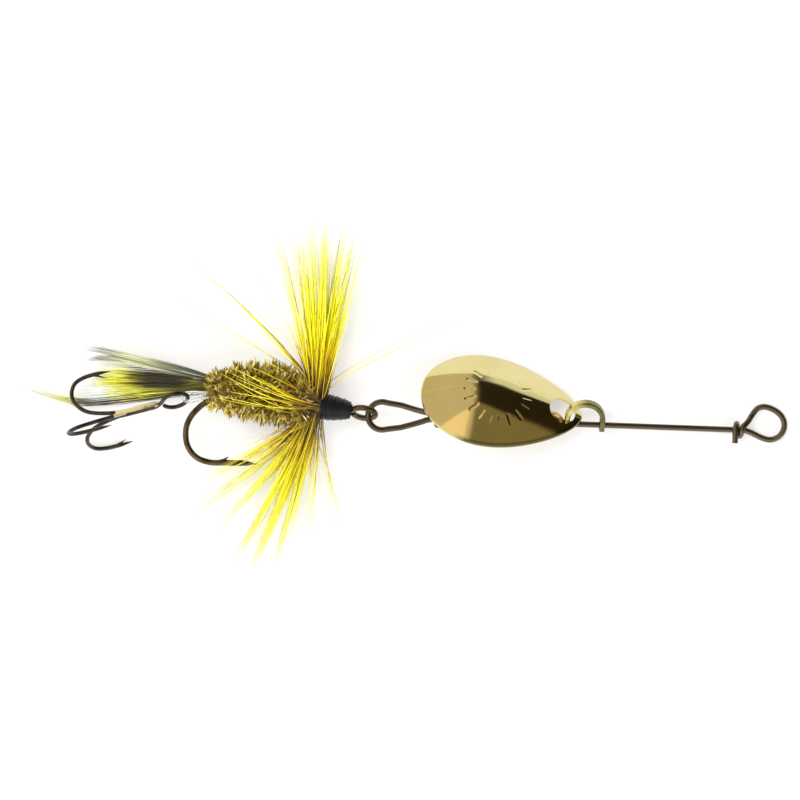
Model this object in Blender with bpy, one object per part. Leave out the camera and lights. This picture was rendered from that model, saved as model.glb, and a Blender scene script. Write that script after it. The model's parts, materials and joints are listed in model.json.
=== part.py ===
"""Inline spinner with a dressed fly hook and a stinger treble, as an assembly.

The lure lies on a flat surface at z = 0. +X points to the line tie and +Z up.
Sizes below are in millimetres, and MM turns them into metres when a mesh is made.
"""
import math

import bmesh
import bpy
from mathutils import Matrix, Vector

MM = 0.001

# ---- where the assembly stands -------------------------------------------------
BOX_CENTRE_X = -19.65       # middle of the lure's box, measured from the clevis
BOX_CENTRE_Y = 1.72
SHAFT_HEIGHT = 1.79         # shaft axis above the surface, at the clevis
SHAFT_LEAN = 3.5            # degrees, the line tie is the low end

# ---- shaft wire -----------------------------------------------------------------
WIRE_R = 0.29               # 0.58 mm spring wire
WRAP_GAP = 0.03             # air between a wrap and the shaft inside it
WRAP_PITCH = 0.66
REAR_TURNS = 2
FRONT_TURNS = 1
WRAP_R = 2 * WIRE_R + WRAP_GAP
FRONT_WRAP_X = 14.28        # where the front wrap starts, next to the line tie
REAR_WRAP_X = -16.45        # where the rear wraps start, next to the rear loop
TAG_LENGTH = 1.35
REAR_LOOP_X = -21.85        # centre of the rear loop's round end
REAR_LOOP_R = 1.40

# ---- beads and weight on the shaft -----------------------------------------------
BEAD_R = 1.19               # 3/32 in brass bead
BORE_R = 0.42
STACK_GAP = 0.04
WEIGHT_R = 1.05
WEIGHT_END_R = 0.85

# ---- clevis ---------------------------------------------------------------------
CLEVIS_FRONT = 0.51         # front face of its front leg
CLEVIS_WIDTH = 4.10         # over both legs, along the shaft
CLEVIS_SHEET = 0.55
CLEVIS_BOW_W = 0.95
CLEVIS_FOOT_W = 1.30
CLEVIS_ARC_Z = 0.68         # centre of the bow's arc above the shaft
CLEVIS_FOOT = 0.56          # leg below the shaft axis
CLEVIS_EDGE = 0.10            # chamfer along the strap's edges
CLEVIS_ROLL = 58.0          # degrees, the bow leans to +Y
LEG_BORE_R = 0.40

# ---- blade ----------------------------------------------------------------------
BLADE_LENGTH = 16.3
BLADE_HALF_WIDTH = 5.12
BLADE_WIDEST = 1.357        # power that puts the widest section behind the middle
BLADE_FULLNESS = 0.44
BLADE_CROWN_S = 9.0         # crown of the dome, from the tip
BLADE_DOME = 2.0
BLADE_SHEET = 0.42
BLADE_HOLE_S = 2.10
BLADE_HOLE_R = 1.38
BLADE_TIP = (-1.85, 0.74, 0.49)
BLADE_ROLL = 30.0           # degrees, the +Y edge lies on the surface
BLADE_YAW = 7.8
BLADE_PITCH = 0.6           # the rear end is raised

# ---- fly hook and its dressing --------------------------------------------------
FLY_YAW = 7.0               # degrees, the tail end lies towards +Y
HOOK_R = 0.28
HOOK_EYE_X = -1.85
HOOK_EYE_R = 1.15
HOOK_EYE_TILT = 64.0
HEAD_FRONT = -3.30
HEAD_REAR = -6.00
HEAD_BORE = 0.34
UNDERBODY_BORE = 0.80
UNDERBODY_R = 1.00
BODY_FRONT = -8.00
BODY_REAR = -16.20
BODY_BORE = 1.05
BODY_WRAPS = 5
WRAP_RELIEF = 0.28
BODY_OFFSET = 0.45           # the wound body stands further out on the +Y side
HACKLE_FRONT = -6.05
HACKLE_REAR = -7.40
HACKLE_R = 1.45
FAN_ROOT_HALF = 0.55          # half of a fan's thickness at the collar
FAN_TIP_HALF = 0.30
FAN_DROOP = 2.0
FEATHER_HALF = 0.12           # half of a tail feather's thickness

# ---- stinger --------------------------------------------------------------------
MONO_R = 0.165
MONO_ROOT = (-16.50, -0.42, 0.62)
MONO_LOOP_R = 0.44
STINGER_EYE_R = 1.29
STINGER_WIRE_R = 0.21
STINGER_SHANK_R = 0.40
STINGER_YAW = 23.4          # degrees from the fly's axis, towards -Y
STINGER_PIVOT = (-19.47, -1.21, 0.62)
STINGER_EYE_TILT = 60.0
STINGER_HOOKS = (             # (turn about the shank in degrees, extra length in mm)
    (-11.0, 0.15),
    (-130.0, -0.15),
    (101.0, 1.20),
)


# ---- general helpers --------------------------------------------------------------
def clear_scene():
    """Remove every object of the open scene."""
    for obj in list(bpy.data.objects):
        bpy.data.objects.remove(obj, do_unlink=True)


def make_material(name, colour, roughness, metallic):
    """Return a Principled material of one colour."""
    mat = bpy.data.materials.new(name)
    mat.use_nodes = True
    shader = mat.node_tree.nodes["Principled BSDF"]
    shader.inputs["Base Color"].default_value = (*colour, 1.0)
    shader.inputs["Roughness"].default_value = roughness
    shader.inputs["Metallic"].default_value = metallic
    return mat


def make_frame(name, location, turn, parent=None):
    """Return an empty at location (mm) turned by turn (degrees) in its parent's frame."""
    frame = bpy.data.objects.new(name, None)
    bpy.context.scene.collection.objects.link(frame)
    frame.parent = parent
    frame.location = Vector(location) * MM
    frame.rotation_euler = [math.radians(angle) for angle in turn]
    return frame


def make_object(name, shape, mat, parent):
    """Turn a bmesh in millimetres into a smooth-shaded object under parent."""
    bmesh.ops.scale(shape, vec=(MM, MM, MM), verts=shape.verts)
    bmesh.ops.recalc_face_normals(shape, faces=shape.faces)
    mesh = bpy.data.meshes.new(name)
    shape.to_mesh(mesh)
    shape.free()
    mesh.shade_smooth()
    mesh.set_sharp_from_angle(angle=math.radians(40))
    mesh.materials.append(mat)
    obj = bpy.data.objects.new(name, mesh)
    bpy.context.scene.collection.objects.link(obj)
    obj.parent = parent
    return obj


def combine(obj, tool, operation):
    """Apply a Boolean of tool on obj, then remove the tool."""
    step = obj.modifiers.new(operation.lower(), "BOOLEAN")
    step.operation = operation
    step.solver = "EXACT"
    step.object = tool
    bpy.context.view_layer.update()
    evaluated = obj.evaluated_get(bpy.context.evaluated_depsgraph_get())
    result = bpy.data.meshes.new_from_object(evaluated)
    obj.modifiers.remove(step)
    obj.data = result
    bpy.data.objects.remove(tool, do_unlink=True)
    return obj


def smooth_path(points, steps):
    """Catmull-Rom curve through points, with steps spans between neighbours."""
    anchors = [Vector(p) for p in points]
    path = []
    for i in range(len(anchors) - 1):
        before = anchors[max(i - 1, 0)]
        start = anchors[i]
        end = anchors[i + 1]
        after = anchors[min(i + 2, len(anchors) - 1)]
        for k in range(steps):
            t = k / steps
            bend = (2 * before - 5 * start + 4 * end - after) * t * t
            twist = (3 * start - before - 3 * end + after) * t ** 3
            path.append(0.5 * (2 * start + (end - before) * t + bend + twist))
    path.append(anchors[-1])
    return path


def tube(path, radii, sides=8):
    """Sweep a round section along path; radii is one radius or one for each point."""
    if not isinstance(radii, (list, tuple)):
        radii = [radii] * len(path)
    shape = bmesh.new()
    last = len(path) - 1
    normal = None
    rings = []
    for i, point in enumerate(path):
        tangent = (path[min(i + 1, last)] - path[max(i - 1, 0)]).normalized()
        if normal is None:
            normal = tangent.orthogonal()
        normal = (normal - tangent * normal.dot(tangent)).normalized()
        binormal = tangent.cross(normal)
        ring = []
        for k in range(sides):
            angle = 2 * math.pi * k / sides
            offset = normal * math.cos(angle) + binormal * math.sin(angle)
            ring.append(shape.verts.new(point + offset * radii[i]))
        rings.append(ring)
    skin_rings(shape, rings)
    return shape


def skin_rings(shape, rings):
    """Join closed rings of vertices by quads and cap both ends."""
    for ring, following in zip(rings, rings[1:]):
        count = len(ring)
        for k in range(count):
            nxt = (k + 1) % count
            shape.faces.new((ring[k], ring[nxt], following[nxt], following[k]))
    shape.faces.new(list(reversed(rings[0])))
    shape.faces.new(rings[-1])


def turned(profile, segments):
    """Revolve a closed profile of (x, radius) points about the X axis."""
    shape = bmesh.new()
    rings = []
    for k in range(segments):
        angle = 2 * math.pi * k / segments
        turn = (math.cos(angle), math.sin(angle))
        rings.append([shape.verts.new((x, r * turn[0], r * turn[1])) for x, r in profile])
    for k in range(segments):
        here = rings[k]
        there = rings[(k + 1) % segments]
        for i in range(len(profile)):
            j = (i + 1) % len(profile)
            shape.faces.new((here[i], here[j], there[j], there[i]))
    return shape


def sheet_solid(rows_top, rows_bottom):
    """Close two matching grids of points into one solid slab."""
    shape = bmesh.new()
    top = [[shape.verts.new(p) for p in row] for row in rows_top]
    bottom = [[shape.verts.new(p) for p in row] for row in rows_bottom]
    rows = len(top)
    cols = len(top[0])
    for i in range(rows - 1):
        for j in range(cols - 1):
            shape.faces.new((top[i][j], top[i][j + 1], top[i + 1][j + 1], top[i + 1][j]))
            shape.faces.new((bottom[i][j], bottom[i + 1][j], bottom[i + 1][j + 1], bottom[i][j + 1]))
    border = [(0, j) for j in range(cols)]
    border += [(i, cols - 1) for i in range(1, rows)]
    border += [(rows - 1, j) for j in range(cols - 2, -1, -1)]
    border += [(i, 0) for i in range(rows - 2, 0, -1)]
    for (a, b), (c, d) in zip(border, border[1:] + border[:1]):
        shape.faces.new((top[a][b], bottom[a][b], bottom[c][d], top[c][d]))
    return shape


# ---- shaft ----------------------------------------------------------------------
def wraps(start_x, direction, start_angle, turns):
    """Helix round the shaft, as a list of points."""
    steps = 12 * turns
    points = []
    for k in range(steps + 1):
        angle = math.radians(start_angle) + 2 * math.pi * k / 12
        x = start_x + direction * WRAP_PITCH * k / 12
        points.append(Vector((x, WRAP_R * math.cos(angle), WRAP_R * math.sin(angle))))
    return points


def line_tie():
    """Loop at the front end, from the shaft round to the start of the wraps."""
    anchors = [
        (14.60, 0.0, 0.0), (15.35, -0.26, 0.0), (16.40, -0.71, 0.0), (17.25, -0.86, 0.0),
        (18.05, -0.55, 0.0), (18.50, 0.06, 0.0), (18.60, 0.82, 0.0), (18.26, 1.57, 0.0),
        (17.55, 2.12, 0.0), (16.62, 2.41, 0.0), (15.88, 2.24, 0.0), (15.36, 1.62, 0.06),
        (14.92, 0.92, 0.32), (FRONT_WRAP_X + 0.08, 0.30, 0.585),
    ]
    return smooth_path(anchors, 2)[:-1]


def rear_loop():
    """Teardrop at the rear end, from the start of the wraps round to the shaft."""
    points = smooth_path([
        (REAR_WRAP_X + 0.02, 0.30, 0.575), (REAR_WRAP_X - 0.60, 0.54, 0.34),
        (REAR_WRAP_X - 1.90, 0.82, 0.06), (REAR_WRAP_X - 3.50, 1.25, 0.0),
    ], 2)
    first = math.radians(72)
    last = math.radians(288)
    for k in range(15):
        angle = first + (last - first) * k / 14
        x = REAR_LOOP_X + REAR_LOOP_R * math.cos(angle)
        points.append(Vector((x, 0.12 + REAR_LOOP_R * math.sin(angle), 0.0)))
    points += smooth_path([
        (REAR_WRAP_X - 3.50, -0.98, 0.0), (REAR_WRAP_X - 1.80, -0.46, 0.0),
        (REAR_WRAP_X - 0.75, -0.10, 0.0), (REAR_WRAP_X + 0.10, 0.0, 0.0),
    ], 2)
    return points


def build_shaft(parent, mat):
    """One bent wire: rear wraps, rear loop, shaft, line tie, front wraps and tag."""
    rear = wraps(REAR_WRAP_X, 1, 90, REAR_TURNS)
    front = wraps(FRONT_WRAP_X, -1, 90, FRONT_TURNS)
    tag = front[-1] + Vector((0.0, -TAG_LENGTH, 0.0))
    path = list(reversed(rear)) + rear_loop() + line_tie() + front + [tag]
    make_object("shaft_wire", tube(path, WIRE_R), mat, parent)


# ---- beads and weight -------------------------------------------------------------
def bead_half_length():
    """Half of a bead's length between its two bore mouths."""
    return math.sqrt(BEAD_R ** 2 - BORE_R ** 2)


def bead_shape():
    """Drilled ball."""
    half = bead_half_length()
    limit = math.acos(half / BEAD_R)
    steps = 8
    profile = []
    for k in range(steps + 1):
        angle = math.pi - limit - (math.pi - 2 * limit) * k / steps
        profile.append((BEAD_R * math.cos(angle), BEAD_R * math.sin(angle)))
    return turned(profile, 16)


def weight_shape(length):
    """Barrel-shaped turned weight with a through bore, centred on its middle."""
    half = length / 2
    steps = 6
    profile = [(-half, BORE_R)]
    for k in range(steps + 1):
        t = 2 * k / steps - 1
        radius = WEIGHT_R - (WEIGHT_R - WEIGHT_END_R) * t * t
        profile.append((half * t, radius))
    profile.append((half, BORE_R))
    return turned(profile, 16)


# ---- clevis ---------------------------------------------------------------------
def clevis_path():
    """Points of the strap's middle line in the X-Z plane, from front foot to rear foot."""
    arc_r = CLEVIS_WIDTH / 2 - CLEVIS_SHEET / 2
    middle = CLEVIS_FRONT - CLEVIS_WIDTH / 2
    path = [(middle + arc_r, z) for z in (-CLEVIS_FOOT, 0.0, 0.50)]
    steps = 14
    for k in range(steps + 1):
        angle = math.pi * k / steps
        path.append((middle + arc_r * math.cos(angle), CLEVIS_ARC_Z + arc_r * math.sin(angle)))
    path += [(middle - arc_r, z) for z in (0.50, 0.0, -CLEVIS_FOOT)]
    return path


def clevis_shape():
    """Flat strap bent into a bow, wider at its two drilled feet."""
    shape = bmesh.new()
    path = clevis_path()
    last = len(path) - 1
    rings = []
    half_sheet = CLEVIS_SHEET / 2
    for i, (x, z) in enumerate(path):
        ahead = path[min(i + 1, last)]
        behind = path[max(i - 1, 0)]
        along = Vector((ahead[0] - behind[0], 0.0, ahead[1] - behind[1])).normalized()
        out = Vector((along.z, 0.0, -along.x))
        rise = min(max((z - 0.45) / 0.6, 0.0), 1.0)
        half = (CLEVIS_FOOT_W + (CLEVIS_BOW_W - CLEVIS_FOOT_W) * rise) / 2
        corners = [
            (half_sheet, half - CLEVIS_EDGE), (half_sheet - CLEVIS_EDGE, half),
            (CLEVIS_EDGE - half_sheet, half), (-half_sheet, half - CLEVIS_EDGE),
            (-half_sheet, CLEVIS_EDGE - half), (CLEVIS_EDGE - half_sheet, -half),
            (half_sheet - CLEVIS_EDGE, -half), (half_sheet, CLEVIS_EDGE - half),
        ]
        centre = Vector((x, 0.0, z))
        rings.append([shape.verts.new(centre + out * o + Vector((0.0, w, 0.0))) for o, w in corners])
    skin_rings(shape, rings)
    return shape


def build_clevis(parent, mat):
    """Clevis with the bore for the shaft drilled through both legs."""
    clevis = make_object("clevis", clevis_shape(), mat, parent)
    drill_path = [Vector((x, 0.0, 0.0)) for x in (-5.0, 2.0)]
    drill = make_object("clevis_drill", tube(drill_path, LEG_BORE_R, 16), mat, parent)
    combine(clevis, drill, "DIFFERENCE")


# ---- blade ----------------------------------------------------------------------
def blade_outline(steps):
    """Teardrop outline as (distance from the tip, offset) points, all the way round."""
    points = []
    for k in range(steps):
        turn = 2 * math.pi * k / steps
        u = (1 - math.cos(turn)) / 2
        swell = max(math.sin(math.pi * u ** BLADE_WIDEST), 0.0) ** BLADE_FULLNESS
        side = 1 if turn < math.pi else -1
        points.append((BLADE_LENGTH * u, side * BLADE_HALF_WIDTH * swell))
    return points


def blade_shape():
    """Domed sheet: rings from the crown to the rim, above and below."""
    outline = blade_outline(40)
    rings = (0.16, 0.32, 0.48, 0.62, 0.75, 0.86, 0.94, 1.0)
    shape = bmesh.new()
    layers = []
    for drop in (0.0, BLADE_SHEET):
        crown = shape.verts.new((-BLADE_CROWN_S, 0.0, BLADE_DOME - drop))
        layer = []
        for r in rings:
            height = BLADE_DOME * (1 - r * r) - drop
            layer.append([
                shape.verts.new((-(BLADE_CROWN_S + (s - BLADE_CROWN_S) * r), y * r, height))
                for s, y in outline
            ])
        layers.append((crown, layer))
    for crown, layer in layers:
        count = len(outline)
        for k in range(count):
            nxt = (k + 1) % count
            shape.faces.new((crown, layer[0][k], layer[0][nxt]))
            for inner, outer in zip(layer, layer[1:]):
                shape.faces.new((inner[k], outer[k], outer[nxt], inner[nxt]))
    upper_rim = layers[0][1][-1]
    lower_rim = layers[1][1][-1]
    for k in range(len(outline)):
        nxt = (k + 1) % len(outline)
        shape.faces.new((upper_rim[k], lower_rim[k], lower_rim[nxt], upper_rim[nxt]))
    return shape


def build_blade(parent, pivot, mat):
    """Blade hung by its hole on the bow of the clevis."""
    blade = make_object("blade", blade_shape(), mat, parent)
    turn = Matrix.Rotation(math.radians(-BLADE_YAW), 4, "Z")
    turn = turn @ Matrix.Rotation(math.radians(BLADE_PITCH), 4, "Y")
    turn = turn @ Matrix.Rotation(math.radians(-BLADE_ROLL), 4, "X")
    blade.matrix_local = Matrix.Translation((Vector(BLADE_TIP) - pivot) * MM) @ turn
    punch_path = [Vector((-BLADE_HOLE_S, 0.0, z)) for z in (-2.0, 4.0)]
    punch = make_object("blade_punch", tube(punch_path, BLADE_HOLE_R, 24), mat, parent)
    punch.matrix_local = blade.matrix_local
    combine(blade, punch, "DIFFERENCE")


# ---- fly ------------------------------------------------------------------------
def ring_eye(centre_x, radius, tilt, first, last, steps):
    """Arc of an eye whose plane holds the X axis and leans by tilt from the level."""
    side = Vector((0.0, math.cos(math.radians(tilt)), math.sin(math.radians(tilt))))
    points = []
    for k in range(steps + 1):
        angle = math.radians(first + (last - first) * k / steps)
        along = Vector((centre_x + radius * math.cos(angle), 0.0, 0.0))
        points.append(along + side * radius * math.sin(angle))
    return points


def build_fly_hook(parent, mat):
    """Single hook: turned eye, shank, round bend, barb and point."""
    eye = ring_eye(HOOK_EYE_X, HOOK_EYE_R, HOOK_EYE_TILT, -160, 148, 18)
    neck = [Vector((HOOK_EYE_X - HOOK_EYE_R - 0.42, 0.0, 0.0)), Vector((-6.0, 0.0, 0.0))]
    bend = smooth_path([
        (-12.5, 0.0, 0.0), (-15.2, -0.26, 0.0), (-17.2, -1.12, 0.0), (-18.60, -2.60, 0.0),
        (-19.15, -4.20, 0.0), (-18.80, -5.90, 0.0), (-17.75, -6.98, 0.0),
        (-16.30, -7.30, 0.0), (-14.60, -7.08, 0.0), (-13.00, -6.86, 0.0), (-11.40, -6.72, 0.0),
    ], 3)
    path = eye + neck + bend
    radii = [HOOK_R] * len(path)
    for back, factor in enumerate((0.08, 0.35, 0.6, 0.85)):
        radii[-1 - back] = HOOK_R * factor
    hook = make_object("fly_hook", tube(path, radii), mat, parent)
    barb_path = [Vector((-15.3, -7.12, 0.0)), Vector((-14.78, -6.80, 0.0)), Vector((-14.48, -6.48, 0.0))]
    barb = make_object("barb", tube(list(reversed(barb_path)), [0.02, 0.10, 0.18], 6), mat, parent)
    combine(hook, barb, "UNION")


def build_thread_head(parent, mat):
    """Varnished cone of thread behind the eye."""
    profile = [
        (HEAD_FRONT, HEAD_BORE), (HEAD_FRONT, 0.72), (HEAD_FRONT - 0.25, 0.92),
        (HEAD_FRONT - 1.10, 1.12), (HEAD_REAR + 0.35, 1.26), (HEAD_REAR, 1.10),
        (HEAD_REAR, HEAD_BORE),
    ]
    make_object("thread_head", turned(profile, 16), mat, parent)


def build_underbody(parent, mat):
    """Thread wraps along the shank, which bind the feathers and the stinger loop."""
    front = HACKLE_REAR - 0.05
    rear = BODY_REAR + 0.4
    profile = [
        (front, UNDERBODY_BORE), (front, UNDERBODY_R),
        (rear, UNDERBODY_R), (rear, UNDERBODY_BORE),
    ]
    make_object("thread_underbody", turned(profile, 14), mat, parent)


def body_radius(t):
    """Outer radius of the chenille, t from 0 at the head to 1 at the tail."""
    girth = 1.85 + 1.2 * math.sin(math.pi * min(t * 0.98 + 0.04, 1.0)) ** 0.7
    groove = WRAP_RELIEF * abs(math.cos(math.pi * BODY_WRAPS * t))
    return girth - groove


def build_chenille(parent, mat):
    """Wound chenille body: one ribbed sleeve."""
    steps = BODY_WRAPS * 4
    profile = [(BODY_FRONT, BODY_BORE)]
    for k in range(steps + 1):
        t = k / steps
        profile.append((BODY_FRONT + (BODY_REAR - BODY_FRONT) * t, body_radius(t)))
    profile.append((BODY_REAR, BODY_BORE))
    sleeve = turned(profile, 18)
    middle = (BODY_FRONT + BODY_REAR) / 2
    half = (BODY_FRONT - BODY_REAR) / 2
    for vert in sleeve.verts:
        if math.hypot(vert.co.y, vert.co.z) > BODY_BORE + 0.1:
            vert.co.y += BODY_OFFSET * math.cos(math.pi / 2 * (vert.co.x - middle) / half)
    make_object("body_chenille", sleeve, mat, parent)


def fan_shape(root, tips):
    """Slab that spreads from two root points to a row of tips and droops outwards."""
    rows = 5
    upper = []
    lower = []
    for i in range(rows + 1):
        t = i / rows
        half = FAN_ROOT_HALF + (FAN_TIP_HALF - FAN_ROOT_HALF) * t
        level = -FAN_DROOP * t * t
        top_row = []
        low_row = []
        for j, tip in enumerate(tips):
            base = Vector(root[0]).lerp(Vector(root[1]), j / (len(tips) - 1))
            spot = base.lerp(Vector(tip), t)
            top_row.append((spot.x, spot.y, level + half))
            low_row.append((spot.x, spot.y, level - half))
        upper.append(top_row)
        lower.append(low_row)
    return sheet_solid(upper, lower)


def build_hackle(parent, mat):
    """Wound collar hackle: its core and the two fans that its fibres lie in."""
    profile = [
        (HACKLE_FRONT, HEAD_BORE), (HACKLE_FRONT, 1.10), (HACKLE_FRONT - 0.4, HACKLE_R),
        (HACKLE_REAR + 0.3, HACKLE_R), (HACKLE_REAR, 1.15), (HACKLE_REAR, HEAD_BORE),
    ]
    hackle = make_object("collar_hackle", turned(profile, 16), mat, parent)
    upper = fan_shape(
        ((-7.0, 1.0), (-6.3, 1.0)),
        ((-13.4, 16.4), (-10.8, 17.4), (-8.1, 17.8), (-5.3, 16.0)))
    lower = fan_shape(
        ((-6.3, -1.0), (-6.9, -1.0)),
        ((-6.4, -11.6), (-7.7, -16.3), (-11.6, -17.0), (-14.2, -14.2)))
    for name, fan in (("fan_a", upper), ("fan_b", lower)):
        combine(hackle, make_object(name, fan, mat, parent), "UNION")


def build_tail(parent, mats):
    """Tail feathers, each a thin leaf from its root at the body to its tip."""
    feathers = (
        ("tail_feather_grizzly", (0.95, 0.10), (-30.6, 1.95, -1.30), 0.62, mats[0]),
        ("tail_feather_olive", (0.55, -0.35), (-28.7, -0.30, -1.60), 0.80, mats[1]),
        ("tail_feather_yellow", (0.25, -0.78), (-29.5, -1.75, -1.98), 0.80, mats[2]),
        ("tail_feather_dark", (0.05, -1.22), (-31.0, -3.10, -2.36), 0.70, mats[1]),
        ("tail_feather_long", (-0.05, -1.78), (-36.2, -2.90, -2.84), 0.45, mats[2]),
    )
    for name, (root_y, root_z), tip, half_width, mat in feathers:
        make_object(name, leaf_shape((BODY_REAR - 0.15, root_y, root_z), tip, half_width), mat, parent)


def leaf_shape(root, tip, half_width):
    """Flat leaf, widest past its middle and narrow at both ends."""
    steps = 8
    upper = []
    lower = []
    start = Vector(root)
    end = Vector(tip)
    for i in range(steps + 1):
        t = i / steps
        spot = start.lerp(end, t)
        spot.z = start.z + (end.z - start.z) * math.sin(math.pi / 2 * t)
        half = 0.12 + half_width * math.sin(math.pi * t ** 1.2) ** 0.8 if t < 1 else 0.08
        upper.append([(spot.x, spot.y + side * half, spot.z + FEATHER_HALF) for side in (-1, 0, 1)])
        lower.append([(spot.x, spot.y + side * half, spot.z - FEATHER_HALF) for side in (-1, 0, 1)])
    return sheet_solid(upper, lower)


# ---- stinger --------------------------------------------------------------------
def build_mono(parent, mat):
    """Clear line loop from the fly's tail through the treble's eye."""
    root = Vector(MONO_ROOT)
    end = Vector(STINGER_PIVOT)
    heading = math.atan2(end.y - root.y, end.x - root.x)
    reach = (end - root).length + 0.02
    points = []
    for side in (1, -1):
        leg = [(0.0, side * 0.22, 0.0), (reach * 0.45, side * 0.25, 0.0), (reach - 0.75, side * 0.40, 0.0)]
        leg = smooth_path(leg, 3)
        points.append(leg if side > 0 else list(reversed(leg)))
    arc = []
    for k in range(9):
        angle = math.radians(80 - 160 * k / 8)
        arc.append(Vector((reach + MONO_LOOP_R * math.cos(angle) - 0.02, MONO_LOOP_R * math.sin(angle), 0.0)))
    path = points[0] + arc + points[1]
    turn = Matrix.Rotation(heading, 4, "Z")
    path = [turn @ point for point in path]
    make_object("stinger_loop", tube(path, MONO_R), mat, parent)


def treble_hook(angle, longer):
    """One of the three hooks, from inside the shank to its point, stretched rearwards by longer."""
    side = Vector((0.0, math.cos(math.radians(angle)), math.sin(math.radians(angle))))
    outline = [
        (-3.2, 0.16), (-6.3, 0.18), (-8.2, 0.45), (-9.9, 1.05), (-10.85, 2.05), (-11.05, 3.15),
        (-10.55, 4.10), (-9.55, 4.52), (-8.1, 4.60), (-6.65, 4.50),
    ]
    shank_end = -6.3
    bend_start = -9.9
    anchors = []
    for i, (x, r) in enumerate(outline):
        share = min(max((shank_end - x) / (shank_end - bend_start), 0.0), 1.0) if i < 5 else 1.0
        anchors.append(Vector((x - longer * share, 0.0, 0.0)) + side * r)
    path = smooth_path(anchors, 2)
    radii = [STINGER_WIRE_R] * len(path)
    for back, factor in enumerate((0.08, 0.5, 0.85)):
        radii[-1 - back] = STINGER_WIRE_R * factor
    spur = ((-7.35, 3.95), (-7.75, 4.25), (-8.3, 4.55))
    barb = [Vector((x - longer, 0.0, 0.0)) + side * r for x, r in spur]
    return path, radii, barb


def build_treble(parent, mat):
    """Three hooks brazed to one shank, with the eye of the front one."""
    shank_path = [Vector((x, 0.0, 0.0)) for x in (-2.85, -3.3, -7.0, -7.5)]
    shank_radii = [0.24, STINGER_SHANK_R, STINGER_SHANK_R, 0.30]
    treble = make_object("stinger_treble", tube(shank_path, shank_radii, 12), mat, parent)
    eye = ring_eye(-STINGER_EYE_R, STINGER_EYE_R, STINGER_EYE_TILT, -158, 150, 18)
    eye.append(Vector((-2 * STINGER_EYE_R - 0.45, 0.0, 0.0)))
    eye.append(Vector((-3.6, 0.0, 0.0)))
    combine(treble, make_object("eye", tube(eye, STINGER_WIRE_R), mat, parent), "UNION")
    for angle, longer in STINGER_HOOKS:
        path, radii, barb = treble_hook(angle, longer)
        combine(treble, make_object("hook", tube(path, radii), mat, parent), "UNION")
        combine(treble, make_object("spur", tube(barb, [0.02, 0.07, 0.13], 6), mat, parent), "UNION")


# ---- assembly -------------------------------------------------------------------
def main():
    """Build every piece of the lure."""
    clear_scene()
    steel = make_material("spring_wire", (0.16, 0.13, 0.10), 0.35, 1.0)
    brass = make_material("bead_brass", (0.62, 0.46, 0.16), 0.28, 1.0)
    gold = make_material("gold_plate", (0.80, 0.62, 0.22), 0.12, 1.0)
    bronze = make_material("hook_bronze", (0.14, 0.11, 0.07), 0.40, 1.0)
    black_wire = make_material("hook_black", (0.06, 0.055, 0.05), 0.40, 1.0)
    thread = make_material("black_thread", (0.012, 0.013, 0.016), 0.25, 0.0)
    under_thread = make_material("under_thread", (0.25, 0.20, 0.05), 0.70, 0.0)
    chenille = make_material("gold_chenille", (0.36, 0.25, 0.04), 0.75, 0.0)
    hackle = make_material("yellow_hackle", (0.80, 0.66, 0.03), 0.70, 0.0)
    grizzly = make_material("grizzly_feather", (0.22, 0.24, 0.16), 0.75, 0.0)
    olive = make_material("olive_feather", (0.10, 0.11, 0.03), 0.75, 0.0)
    yellow = make_material("yellow_feather", (0.68, 0.66, 0.10), 0.75, 0.0)
    mono = make_material("clear_line", (0.80, 0.84, 0.84), 0.12, 0.0)

    lure = make_frame("lure", (-BOX_CENTRE_X, -BOX_CENTRE_Y, 0.0), (0, 0, 0))
    shaft = make_frame("shaft_axis", (0, 0, SHAFT_HEIGHT), (0, SHAFT_LEAN, 0), lure)
    build_shaft(shaft, steel)

    wrap_face = REAR_WRAP_X + WRAP_PITCH * REAR_TURNS + WIRE_R
    clevis_rear = CLEVIS_FRONT - CLEVIS_WIDTH
    half = bead_half_length()
    rear_x = wrap_face + STACK_GAP + half
    front_x = clevis_rear - STACK_GAP - half
    weight_length = front_x - rear_x - 2 * half - 2 * STACK_GAP
    rear_place = make_frame("rear_bead_axis", (rear_x, 0, 0), (0, 0, 0), shaft)
    make_object("rear_bead", bead_shape(), brass, rear_place)
    weight_place = make_frame("weight_axis", ((rear_x + front_x) / 2, 0, 0), (0, 0, 0), shaft)
    make_object("weight_body", weight_shape(weight_length), brass, weight_place)
    front_place = make_frame("bearing_bead_axis", (front_x, 0, 0), (0, 0, 0), shaft)
    make_object("bearing_bead", bead_shape(), brass, front_place)

    clevis_axis = make_frame("clevis_axis", (0, 0, 0), (-CLEVIS_ROLL, 0, 0), shaft)
    build_clevis(clevis_axis, gold)
    roll = math.radians(CLEVIS_ROLL)
    arc_x = CLEVIS_FRONT - CLEVIS_WIDTH / 2
    pivot = Vector((arc_x, CLEVIS_ARC_Z * math.sin(roll), CLEVIS_ARC_Z * math.cos(roll)))
    blade_axis = make_frame("blade_axis", pivot, (0, 0, 0), shaft)
    build_blade(blade_axis, pivot, gold)

    lean = math.radians(SHAFT_LEAN)
    loop_x = REAR_LOOP_X * math.cos(lean)
    loop_z = SHAFT_HEIGHT - REAR_LOOP_X * math.sin(lean)
    fly = make_frame("fly_axis", (loop_x, 0.12, loop_z), (0, 0, -FLY_YAW), lure)
    build_fly_hook(fly, bronze)
    build_thread_head(fly, thread)
    build_underbody(fly, under_thread)
    build_chenille(fly, chenille)
    build_hackle(fly, hackle)
    build_tail(fly, (grizzly, olive, yellow))

    mono_axis = make_frame("stinger_loop_axis", MONO_ROOT, (0, 0, 0), fly)
    build_mono(mono_axis, mono)
    treble_axis = make_frame("treble_axis", STINGER_PIVOT, (0, 0, STINGER_YAW), fly)
    build_treble(treble_axis, black_wire)


main()
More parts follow.
